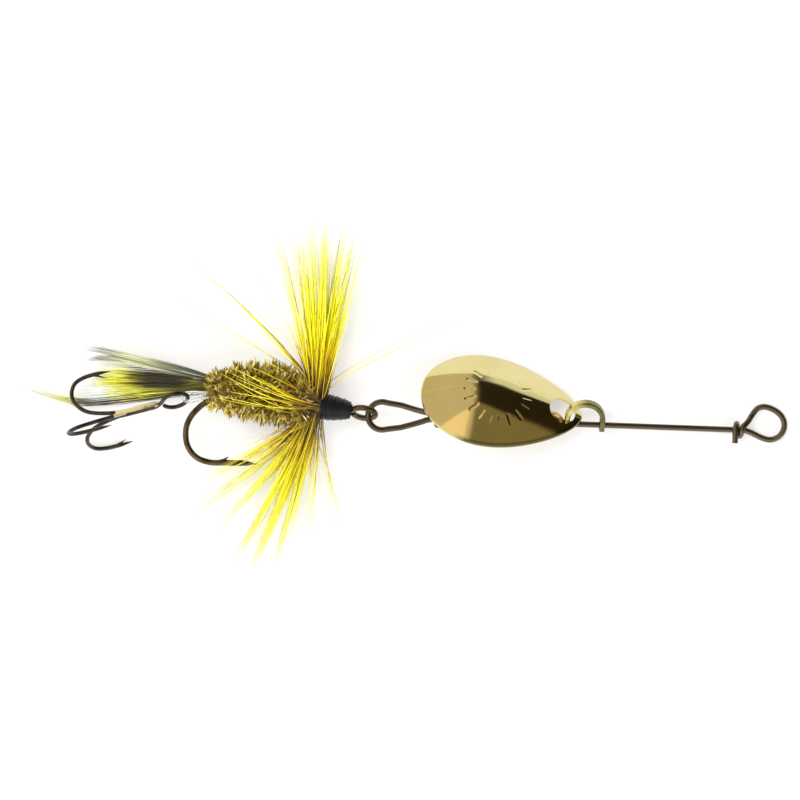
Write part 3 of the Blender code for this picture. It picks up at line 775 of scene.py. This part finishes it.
# ---- hooks ----
def ring_eye(centre_x, radius, tilt, first, last, steps):
    """Arc of an eye whose plane holds the X axis and leans by tilt from the level."""
    side = polar(0, 1, radians(tilt))
    points = []
    for k in range(steps + 1):
        angle = radians(first + (last - first) * k / steps)
        points.append(Vector((centre_x + radius * cos(angle), 0, 0)) + side * radius * sin(angle))
    return points


def taper(count, radius, factors):
    """Constant radius with the last few values scaled down to a point."""
    radii = [radius] * count
    for back, factor in enumerate(factors):
        radii[-1 - back] = radius * factor
    return radii


HOOK_R = 0.3
HOOK_EYE_X = -1.85
HOOK_EYE_R = 1.15
HOOK_EYE_TILT = 64.0


def build_fly_hook():
    """Single hook with its turned eye, round bend and barb."""
    path = ring_eye(HOOK_EYE_X, HOOK_EYE_R, HOOK_EYE_TILT, -160, 148, 44)
    path += smooth_path([path[-1], (-3.05, 0.1, 0.12), (-3.6, 0, 0), (-6, 0, 0)], 5)[1:]
    path += smooth_path([
        (-12.5, 0, 0), (-15.2, -0.26, 0), (-17.2, -1.12, 0), (-18.6, -2.6, 0),
        (-19.15, -4.2, 0), (-18.8, -5.9, 0), (-17.75, -6.98, 0),
        (-16.3, -7.3, 0), (-14.6, -7.08, 0), (-13, -6.86, 0), (-11.4, -6.72, 0),
    ], 8)
    radii = taper(len(path), HOOK_R, (0.05, 0.14, 0.24, 0.36, 0.5, 0.66, 0.8, 0.9, 0.97))
    barb = [Vector((x, y, 0)) for x, y in ((-14.45, -6.42), (-14.62, -6.58), (-14.9, -6.82), (-15.3, -7.04))]
    spur = Shape().tube(barb, [0.01, 0.07, 0.13, 0.17], 10)
    add_fine("fly_hook", Shape().tube(path, radii, 18), FLY, "hook_bronze", "fly", join=[spur])


TREBLE_HOOKS = ((-11, 0.15), (-130, -0.15), (101, 1.2))  # turn about the shank, extra length
TREBLE_WIRE_R = 0.21
TREBLE_EYE_X = -1.29
TREBLE_EYE_R = 1.29
TREBLE_EYE_TILT = 60.0
SHANK_R = 0.47  # just outside the joined shanks
BEND_START = -6.3  # where the hooks leave the shank


def paint_braze_and_highlight(treble):
    """Give the braze material, which is also a painted highlight, to the lit upper side of the shank only.
    """
    treble.data.materials.append(MATS["braze_and_painted_highlight"])
    for face in treble.data.polygons:
        centre = face.center / MM
        on_shank = -7.5 < centre.x < -2.95 and hypot(centre.y, centre.z) < SHANK_R
        if on_shank and centre.z > 0.02 and centre.y > -0.12:
            face.material_index = 1


def build_treble():
    """Three fine hooks brazed to one shank."""
    shank = [Vector((x, 0, 0)) for x in (-2.8, -3, -3.4, -5, -6.8, -7.3, -7.6)]
    shape = Shape().tube(shank, [0.16, 0.3, 0.39, 0.4, 0.39, 0.31, 0.16], 20)
    eye = ring_eye(TREBLE_EYE_X, TREBLE_EYE_R, TREBLE_EYE_TILT, -158, 150, 44)
    eye += smooth_path([eye[-1], (-2.75, 0.06, 0.1), (-3.1, 0, 0), (-3.7, 0, 0)], 5)[1:]
    parts = [Shape().tube(eye, TREBLE_WIRE_R, 14)]
    for angle, longer in TREBLE_HOOKS:
        side = polar(0, 1, radians(angle))
        outline = [
            (-3.2, 0.16), (BEND_START, 0.18), (-8.2, 0.45), (-9.9, 1.05), (-10.85, 2.05), (-11.05, 3.15),
            (-10.55, 4.1), (-9.55, 4.52), (-8.1, 4.6), (-6.65, 4.5),
        ]
        anchors = []
        for i, (x, r) in enumerate(outline):
            share = clamp((BEND_START - x) / 3.6) if i < 5 else 1.0
            anchors.append(Vector((x - longer * share, 0, 0)) + side * r)
        path = smooth_path(anchors, 6)
        radii = taper(len(path), TREBLE_WIRE_R, (0.05, 0.2, 0.38, 0.56, 0.74, 0.88, 0.95))
        parts.append(Shape().tube(path, radii, 14))
        spur = ((-7.3, 3.92), (-7.7, 4.16), (-8.4, 4.5))
        barb = [Vector((x - longer, 0, 0)) + side * r for x, r in spur]
        parts.append(Shape().tube(barb, [0.01, 0.07, 0.14], 8))
    paint_braze_and_highlight(add_fine("stinger_treble", shape, TREBLE, "hook_black", "stinger_treble", join=parts))


# ---- thread head ----
HEAD_FRONT = -3.12
HEAD_REAR = -6.2
HEAD_CORE_R = 0.3
HEAD_TURNS = 17
THREAD_R = 0.1


def head_radius(x):
    """Radius of the thread head at x."""
    t = (x - HEAD_FRONT) / (HEAD_REAR - HEAD_FRONT)
    nose = sqrt(max(1 - (1 - clamp(t / 0.16)) ** 2, 0))
    return 0.42 + 0.38 * nose + 0.44 * sin(pi / 2 * clamp(t * 1.1))


def build_thread_head():
    """Cone of thread wraps under varnish: a smooth core and the wound thread over it."""
    profile = [(HEAD_FRONT, HEAD_CORE_R)]
    for k in range(25):
        x = HEAD_FRONT + (HEAD_REAR - HEAD_FRONT) * k / 24
        profile.append((x, head_radius(x) - 0.03))
    profile.append((HEAD_REAR, HEAD_CORE_R))
    shape = Shape().turned(profile, 40)
    steps = HEAD_TURNS * 26
    helix = []
    for k in range(steps + 1):
        t = k / steps
        x = HEAD_FRONT - 0.05 + (HEAD_REAR - HEAD_FRONT + 0.1) * t
        angle = 2 * pi * HEAD_TURNS * t
        r = head_radius(x) + 0.05 * sin(angle * 0.37) * sin(angle * 0.113 + 1)
        x += 0.07 * sin(angle + 5.1 * t)
        helix.append(polar(x, r, angle))
    shape.tube(helix, THREAD_R, 6)
    add_fine("thread_head", shape, FLY, "black_thread", "fly", sharp=60)


def build_underbody():
    """Thread laid along the shank under the chenille."""
    front = -7.45
    rear = -15.8
    inner = 0.8
    outer = 0.97
    steps = 120
    profile = [(front, inner)]
    for k in range(steps + 1):
        ripple = 0.03 * abs(sin(pi * k / 2.5))
        profile.append((front + (rear - front) * k / steps, outer + ripple))
    profile.append((rear, inner))
    add_fine("thread_underbody", Shape().turned(profile, 24), FLY, "under_thread", "fly")


# ---- chenille body ----
BODY_FRONT = -7.5
BODY_REAR = -17.8
BODY_WRAPS = 6
FLAKES = 3400
FLAKE_ROOT = -0.15  # roots start inside the core
FLAKE_FLOOR = 0.00008  # metres that a tip stays above the surface
LOOP_CLEARANCE = 0.58  # half of the width kept free of flakes for the line loop
LOOP_LIFT = (-14, 62)  # degrees through which the loop bends, with a margin
LOOP_SPAN = (0.3, 3.5)  # distances from its root


def body_core(t):
    """Radius of the body's core, t from 0 at the head to 1 at the tail."""
    girth = 1.1 + 1.2 * sin(pi * min(0.18 + t * 0.8, 1)) ** 0.7
    groove = 0.24 * abs(cos(pi * BODY_WRAPS * t))
    return (girth - groove) * (0.3 + 0.7 * sqrt(clamp((1.0 - t) / 0.07)))


def body_spot(t, angle, extra=0.0):
    """Point on the body's core, which stands further out on the upper side."""
    r = body_core(t) + extra
    x = BODY_FRONT + (BODY_REAR - BODY_FRONT) * t
    rise = 0.5 * sin(pi * min(t * 0.9 + 0.1, 1)) - 0.1 * t
    return Vector((x, r * cos(angle) + rise, r * sin(angle)))


def spike(shape, root, tip, width, thick):
    """Thin closed flake with a flat diamond section and a sharp tip."""
    along = (tip - root).normalized()
    side = along.orthogonal().normalized()
    side.rotate(Matrix.Rotation(width * 97, 3, along))
    over = along.cross(side)
    middle = root.lerp(tip, 0.55)
    corners = (side * width, over * thick, -side * width, -over * thick)
    base = shape.ring([root + corner for corner in corners])
    mid = shape.ring([middle + corner for corner in corners])
    end = shape.ring([tip])[0]
    shape.faces.append(tuple(reversed(base)))
    shape.bridge(base, mid)
    for k in range(4):
        shape.faces.append((mid[k], mid[(k + 1) % 4], end))


def loop_heading():
    """Vector from the line loop's root to the treble's pivot, in the loop's frame (mm)."""
    return LOOP.inverted() @ Vector(joint("treble_swing")["pos_m"]) / MM


def in_loop_path(root, tip, to_loop):
    """True when a flake from root to tip would stand where the line loop bends up."""
    for k in range(6):
        x, y, z = to_loop @ root.lerp(tip, k / 5)
        lift = degrees(atan2(z, x))
        reached = LOOP_SPAN[0] < hypot(x, z) < LOOP_SPAN[1]
        if abs(y) < LOOP_CLEARANCE and LOOP_LIFT[0] < lift < LOOP_LIFT[1] and reached:
            return True
    return False


def build_core():
    """Ribbed core of the chenille body."""
    core = Shape()
    steps = 72
    rings = []
    for i in range(steps + 1):
        t = i / steps
        rings.append(core.ring([body_spot(t, 2 * pi * k / 36) for k in range(36)]))
    core.skin(rings)
    add_piece("chenille_core", core, FLY, "chenille_core", "fly", "gold_chenille")


def build_tinsel():
    """Thousands of stiff tinsel flakes that stand out of the body's wraps."""
    end = loop_heading()
    scale = Matrix.Scale(MM, 4)
    turn = Matrix.Rotation(-atan2(end.y, end.x), 4, "Z")
    to_loop = turn @ scale.inverted() @ LOOP.inverted() @ FLY @ scale
    rng = random.Random(11)
    flakes = Shape()
    for _ in range(FLAKES):
        wrap = rng.randrange(BODY_WRAPS) + 0.5 + rng.gauss(0, 0.21)
        t = clamp(wrap / BODY_WRAPS)
        angle = rng.uniform(0, 2 * pi)
        root = body_spot(t, angle, FLAKE_ROOT)
        out = polar(0, 1, angle)
        backward = -1.2 * max(t - 0.88, 0) / 0.12
        lean = Vector((rng.gauss(0.1, 0.42) + backward, rng.gauss(0, 0.4), rng.gauss(0, 0.4)))
        direction = (out + lean).normalized()
        bulk = 0.45 + 0.55 * sin(pi * min(0.22 + t * 0.72, 1))
        length = (0.55 + 1.00 * rng.random() ** 1.2) * bulk + 0.15
        tip = root + direction * length
        below_floor = (FLY @ (tip * MM)).z < FLAKE_FLOOR
        if below_floor or in_loop_path(root, tip, to_loop):
            continue
        spike(flakes, root, tip, rng.uniform(0.07, 0.165), rng.uniform(0.016, 0.03))
    add_piece("chenille_tinsel", flakes, FLY, "gold_chenille", "fly", "gold_chenille", ["body_chenille"])


# ---- hackle ----
STEM_R = 0.92
STEM_TURNS = 5
ROOT_R = 0.85
FIBRE_R = 0.046
FIBRE_TAPER = (1, 1.08, 1.08, 1, 0.9, 0.78, 0.62, 0.42, 0.14)
LAID_BACK = 22  # fibres laid back over the body
SHORT_ONES = 40  # short fibres round the collar
UPPER_TUFTS = (  # tip x, tip y, fibres, spread, shortest share, root x
    (-13.2, 16.4, 20, 0.35, 0.55, -7.2), (-12.1, 17.8, 10, 0.5, 0.6, -7.1),
    (-10.9, 17, 52, 0.28, 0.5, -7), (-9.9, 18, 44, 0.3, 0.6, -6.9),
    (-8.6, 18.5, 60, 0.26, 0.55, -6.7), (-7.7, 16.8, 20, 0.3, 0.45, -6.6),
    (-6.8, 18.3, 50, 0.26, 0.55, -6.4), (-5.6, 17.8, 40, 0.26, 0.55, -6.2),
    (-4.7, 17.2, 12, 0.3, 0.6, -6), (-9, 10.5, 44, 0.7, 0.45, -6.8),
    (-6.9, 10, 40, 0.55, 0.45, -6.5), (-10.6, 8.6, 16, 0.6, 0.45, -7.1),
)
LOWER_TUFTS = (
    (-17, -9.4, 16, 0.35, 0.6, -7.2), (-17.4, -13.2, 20, 0.45, 0.6, -7.2),
    (-14.8, -14.6, 30, 0.4, 0.5, -7.1), (-12.5, -17.3, 60, 0.28, 0.5, -6.9),
    (-10.6, -17.5, 62, 0.28, 0.5, -6.8), (-8.4, -17.4, 32, 0.2, 0.5, -6.6),
    (-7.2, -14, 16, 0.25, 0.5, -6.5), (-5.4, -13.2, 12, 0.25, 0.55, -6.3),
    (-2, -12.6, 5, 0.4, 0.7, -6.1), (-10.9, -9.6, 34, 0.7, 0.45, -6.9),
    (-8, -9, 24, 0.5, 0.45, -6.6), (-14.4, -7.4, 16, 0.6, 0.45, -7.1),
)
STRAYS = (  # tip x, y and z, radius
    (-21.6, 12.5, 0.5, 0.09), (-20.9, 11.9, 0.9, 0.085), (-18.4, 10.6, 0.4, 0.06),
    (-23.4, 8.8, 1, 0.048), (-21.6, 7.2, 0.8, 0.046), (-15.9, 13.2, 1.2, 0.036),
    (-15.6, 9.6, 0.6, 0.045), (-14.4, 7.2, 1, 0.05), (-13.2, 8.6, 1.4, 0.045),
    (-12.4, 6.4, 1.2, 0.05), (-17.9, 4.9, 2, 0.046), (7.4, 11.2, 4.4, 0.055),
    (4.6, 10.2, 3.8, 0.05), (-1.6, 9.8, 1.8, 0.026), (-3.6, 12.4, -0.5, 0.034),
    (-4.2, -9.6, 0.5, 0.034), (-1.9, -12, -1, 0.034), (-2.9, -8.6, -1.2, 0.03),
    (-20.2, -10.2, -1.2, 0.026), (-11.9, -3.7, 2.2, 0.05), (-13.6, -5.4, 0.9, 0.045),
    (-18.4, -5.6, -0.5, 0.026), (-11.2, -6.2, 1.2, 0.05), (-12.6, -7, 0.8, 0.05),
    (-16.2, -9.4, 0.2, 0.05), (-10.4, 5.6, 1.8, 0.05), (-9.6, 6.4, 1.4, 0.05),
)


def collar_root(rng, angle):
    """Point on the wound stem where a fibre starts, and the direction out of it."""
    x = rng.uniform(COLLAR_REAR, COLLAR_FRONT)
    out = polar(0, 1, angle)
    return Vector((x, 0, 0)) + out * ROOT_R, out


def fibre(shape, root, out, tip, rng, stiff=0.35, thick=FIBRE_R):
    """Tapered fibre that leaves along out and curves over to its tip, above the floor."""
    tip = keep_above_floor(tip)
    reach = (tip - root).length
    straight = (tip - root).normalized()
    control = root + (out * 0.45 + straight * 0.55) * reach * stiff
    control += Vector((rng.gauss(0, 0.02), rng.gauss(0, 0.02), rng.gauss(0, 0.03))) * reach
    path = [keep_above_floor(spot, 0.1) for spot in arc_path(root, control, tip, 8)]
    shape.tube(path, [thick * share for share in FIBRE_TAPER], 3)


def keep_above_floor(point, height=0.12):
    """The point, lifted so that it stays above the surface under the lure."""
    world = FLY @ (point * MM)
    lift = max(0.0, height - world.z / MM)
    return point + Vector((0, 0, lift))


def fan(shape, rng, tufts, sign):
    """Tufts on one side, +1 for the upper and -1 for the lower one."""
    for tip_x, tip_y, count, spread, shortest, root_x in tufts:
        for _ in range(count):
            angle = radians(90 * (1 - sign)) + rng.gauss(0, 0.5)
            root, out = collar_root(rng, angle)
            root.x = min(max(rng.gauss(root_x, 0.28), COLLAR_REAR), COLLAR_FRONT + 0.3)
            share = shortest + (1 - shortest) * rng.random() ** 0.55
            aim = Vector((tip_x + rng.gauss(0, spread), tip_y + rng.gauss(0, spread * 0.35), 0))
            tip = root + (aim - root) * share
            tip.z = sin(angle) * 3.2 * share + rng.gauss(-0.4, 0.7)
            fibre(shape, root, out, tip, rng)


def build_hackle():
    """Collar hackle: wound stem, two fans of tufts, fibres laid back over the body and strays."""
    rng = random.Random(5)
    shape = Shape()
    stem = []
    steps = STEM_TURNS * 20
    for k in range(steps + 1):
        t = k / steps
        angle = 2 * pi * STEM_TURNS * t
        x = COLLAR_FRONT + (COLLAR_REAR - COLLAR_FRONT) * t
        stem.append(polar(x, STEM_R, angle))
    shape.tube(stem, 0.13, 6)
    fan(shape, rng, UPPER_TUFTS, 1)
    fan(shape, rng, LOWER_TUFTS, -1)
    for x, y, z, thick in STRAYS:
        angle = atan2(z, y)
        root, out = collar_root(rng, angle)
        fibre(shape, root, out, Vector((x, y, z)), rng, 0.3, thick)
    for k in range(LAID_BACK):
        angle = rng.gauss(radians(100), 0.3)
        root, out = collar_root(rng, angle)
        back = rng.uniform(3, 10.8)
        swing = radians(8 + 112 * (k + rng.random()) / LAID_BACK)
        t = clamp((root.x - back - BODY_FRONT) / (BODY_REAR - BODY_FRONT))
        bulk = body_spot(t, swing, 1)
        tip = Vector((root.x - back, bulk.y, bulk.z + 0.3))
        fibre(shape, root, out, tip, rng, 0.6, rng.uniform(0.06, 0.095))
    for _ in range(SHORT_ONES):
        angle = rng.uniform(0, 2 * pi)
        root, out = collar_root(rng, angle)
        tip = root + out * rng.uniform(1.6, 4.2) + Vector((-rng.uniform(1.5, 5), 0, 0))
        fibre(shape, root, out, tip, rng, 0.5)
    add_piece("collar_hackle_fibres", shape, FLY, "yellow_hackle", "fly", "yellow_hackle",
              ["collar_hackle"], sharp=180)


# ---- tail feathers ----
TAIL_ROOT_X = -16.6
STRAND_TAPER = (1, 1, 0.95, 0.85, 0.7, 0.48, 0.12)


def strand(kind, slot, lines, count, spread, shortest, seed, thick):
    """Tail feather as a bundle of soft fibres that follow its centre lines and end at many places."""
    rng = random.Random(seed)
    shape = Shape()
    for line in lines:
        quill = smooth_path(line, 4)
        last = len(quill) - 1
        shape.tube(quill, [0.08 - 0.066 * k / last for k in range(last + 1)], 5)
        for _ in range(count):
            ends = shortest + (1 - shortest) * rng.random() ** 0.6
            start = rng.uniform(0, 0.35) * ends
            side = rng.gauss(0, spread)
            lift = rng.gauss(0, 0.22)
            path = []
            for k in range(7):
                t = start + (ends - start) * k / 6
                near = min(int(t * last), last - 1)
                spot = quill[near].lerp(quill[near + 1], t * last - near)
                if t < 0.7:
                    open_up = 0.25 + 0.75 * sin(pi / 2 * min(t * 1.5, 1))
                else:
                    open_up = 1.0 - 0.35 * (t - 0.7)
                spot = spot + Vector((0, side * open_up, lift * open_up))
                path.append(keep_above_floor(spot, 0.1))
            shape.tube(path, [thick * share for share in STRAND_TAPER], 3)
    name = "tail_feather_" + kind
    add_piece(name + "_fibres", shape, FLY, kind + "_feather", "fly", slot, [name], sharp=180)


def build_tail():
    """The five tail feathers, from the body's rear end."""
    strand("grizzly", "grizzly_feather", (
        ((TAIL_ROOT_X, 0.95, 0.15), (-19.8, 1.42, -0.25), (-22.6, 1.62, -0.55), (-26.2, 1.86, -0.9),
         (-28.8, 2, -1.1), (-30.6, 1.94, -1.2)),
        ((TAIL_ROOT_X, 0.75, 0.05), (-20.4, 0.98, -0.35), (-23.9, 1.16, -0.65), (-26.6, 1.34, -0.95),
         (-28.7, 1.25, -1.1), (-30.3, 0.85, -1.2)),
    ), count=66, spread=0.17, shortest=0.42, seed=21, thick=0.034)
    strand("olive", "olive_feather", (
        ((TAIL_ROOT_X, 0.6, -0.15), (-19.8, 0.45, -0.6), (-22.6, 0.3, -0.95), (-25.6, -0.05, -1.25),
         (-27.6, -0.22, -1.4), (-29, -0.3, -1.5)),
        ((TAIL_ROOT_X, 0.35, -0.25), (-19.8, 0.12, -0.7), (-22.6, -0.12, -1), (-25.4, -0.5, -1.3),
         (-27.8, -0.95, -1.5), (-29.5, -1.4, -1.6)),
    ), count=120, spread=0.3, shortest=0.5, seed=22, thick=0.044)
    strand("yellow", "yellow_feather", (
        ((TAIL_ROOT_X, 0.1, -0.6), (-20, -0.35, -1.05), (-23.2, -0.95, -1.4), (-26.4, -1.65, -1.65),
         (-30.6, -2.45, -1.9)),
        ((TAIL_ROOT_X, 0, -0.7), (-20, -0.5, -1.15), (-23.2, -1.15, -1.5), (-26.4, -2.05, -1.75),
         (-30.3, -3.05, -2)),
    ), count=120, spread=0.3, shortest=0.5, seed=23, thick=0.042)
    strand("dark", "olive_feather", (
        ((TAIL_ROOT_X, -0.1, -1), (-20, -0.6, -1.45), (-23, -1.4, -1.8), (-26.6, -2.6, -2.1),
         (-29.4, -3.35, -2.3), (-31.2, -3.7, -2.4)),
    ), count=110, spread=0.22, shortest=0.55, seed=24, thick=0.044)
    strand("long", "yellow_feather", (
        ((TAIL_ROOT_X, -0.15, -1.5), (-21, -1.1, -2), (-26, -2.6, -2.45), (-30.4, -3.4, -2.6),
         (-33, -3.35, -2.7), (-36.2, -2.85, -2.75)),
    ), count=56, spread=0.15, shortest=0.55, seed=25, thick=0.036)


# ---- stinger loop ----
LINE_R = 0.165
LOOP_END_R = 0.44


def build_mono():
    """Clear line loop through the treble's eye."""
    end = loop_heading()
    reach = end.length + 0.02
    legs = []
    for side in (1, -1):
        legs.append(smooth_path([
            (0, side * 0.22, 0), (reach * 0.45, side * 0.25, 0), (reach - 0.75, side * 0.4, 0),
        ], 6))
    bend = []
    for k in range(25):
        angle = radians(80 - 160 * k / 24)
        bend.append(Vector((reach - 0.02 + LOOP_END_R * cos(angle), LOOP_END_R * sin(angle), 0)))
    turn = Matrix.Rotation(atan2(end.y, end.x), 4, "Z")
    path = [turn @ spot for spot in legs[0] + bend + list(reversed(legs[1]))]
    add_fine("stinger_loop", Shape().tube(path, LINE_R, 14), LOOP, "clear_line", "stinger_loop")


# ---- stage ----
def build_floor():
    """Plain pale floor: a faintly lit white table, which keeps the shadows light."""
    half = 0.6
    corners = [(-half, -half, 0), (half, -half, 0), (half, half, 0), (-half, half, 0)]
    mesh = bpy.data.meshes.new("floor")
    mesh.from_pydata(corners, [], [(0, 1, 2, 3)])
    floor = bpy.data.objects.new("floor", mesh)
    bpy.context.scene.collection.objects.link(floor)
    mesh.materials.append(noisy(
        "floor_paint", 0.75, 40, [(0.3, (0.38, 0.38, 0.38)), (0.7, (0.4, 0.4, 0.4))],
        Emission_Color=(1, 1, 1, 1), Emission_Strength=0.5))


def area_light(name, location, power):
    """Soft square lamp that faces the lure and isn't mirrored in the metal."""
    data = bpy.data.lights.new(name, "AREA")
    data.size = 0.35
    data.energy = power
    lamp = bpy.data.objects.new(name, data)
    bpy.context.scene.collection.objects.link(lamp)
    lamp.location = location
    lamp.rotation_euler = (-Vector(location)).to_track_quat("-Z", "Y").to_euler()
    lamp.visible_glossy = False


def build_surround():
    """World that the metal mirrors: tan, softbox, white, dark and pale areas; the backdrop is plain."""
    world = bpy.data.worlds.new("studio")
    bpy.context.scene.world = world
    sky = Graph(world)

    def side_of(normal, soft, offset=0.0):
        """0 to 1 across the plane with that normal, shifted by offset."""
        dot = sky.nodes.new("ShaderNodeVectorMath")
        dot.operation = "DOT_PRODUCT"
        dot.inputs[1].default_value = Vector(normal).normalized()
        sky.links.new(sky.coords.outputs["Generated"], dot.inputs[0])
        step = sky.nodes.new("ShaderNodeMapRange")
        step.interpolation_type = "SMOOTHSTEP"
        step.inputs["From Min"].default_value = offset - soft
        step.inputs["From Max"].default_value = offset + soft
        sky.links.new(dot.outputs["Value"], step.inputs["Value"])
        return step.outputs["Result"]

    tan_wall = side_of((-1, 0, 0), 0.03, 0.05)
    front = side_of((0, -1, -0.45), 0.1)
    dark = sky.product(side_of((0.263, 0.309, -0.247), 0.05), side_of((1, 0, 0), 0.03))
    low = sky.product(side_of((0, 0, -1), 0.05, -0.2), side_of((1, 0, 0), 0.15, 0.1))
    softbox = sky.product(side_of((-1, 0, -0.12), 0.006), side_of((0.307, -0.247, 0.178), 0.02))
    colour = (0.27, 0.21, 0.115, 1)
    for mask, over in (
            (tan_wall, (0.77, 0.64, 0.49)), (softbox, (1.3, 0.98, 0.7)), (front, (1, 1, 1)),
            (dark, (0.028, 0.019, 0.011)), (low, (0.9, 0.92, 0.85))):
        colour = sky.mix(mask, colour, (*over, 1))
    seen = sky.nodes.new("ShaderNodeLightPath").outputs["Is Camera Ray"]
    colour = sky.mix(seen, colour, (0.93, 0.93, 0.92, 1))
    sky.put(sky.nodes["Background"].inputs["Color"], colour)


def build_camera():
    """Overhead camera with a long lens, turned a little about its view."""
    data = bpy.data.cameras.new("camera")
    camera = bpy.data.objects.new("camera", data)
    bpy.context.scene.collection.objects.link(camera)
    height = 0.6
    frame_width = 0.08
    level = 0.003
    data.sensor_width = 36.0
    data.lens = data.sensor_width * height / frame_width
    data.clip_start = 0.01
    camera.location = (-0.00043, 0.00005, height + level)
    camera.rotation_euler = (0, 0, radians(2.08))
    bpy.context.scene.camera = camera
    bpy.context.scene.view_settings.view_transform = "Standard"


# ---- assembly ----
build_camera()
build_floor()
build_surround()
area_light("key", (-0.2, 0.15, 0.5), 3)
area_light("fill", (0.25, -0.3, 0.45), 2.4)
build_shaft()
build_stack()
build_clevis()
build_blade()
build_fly_hook()
build_treble()
build_thread_head()
build_underbody()
build_core()
build_tinsel()
build_hackle()
build_tail()
build_mono()
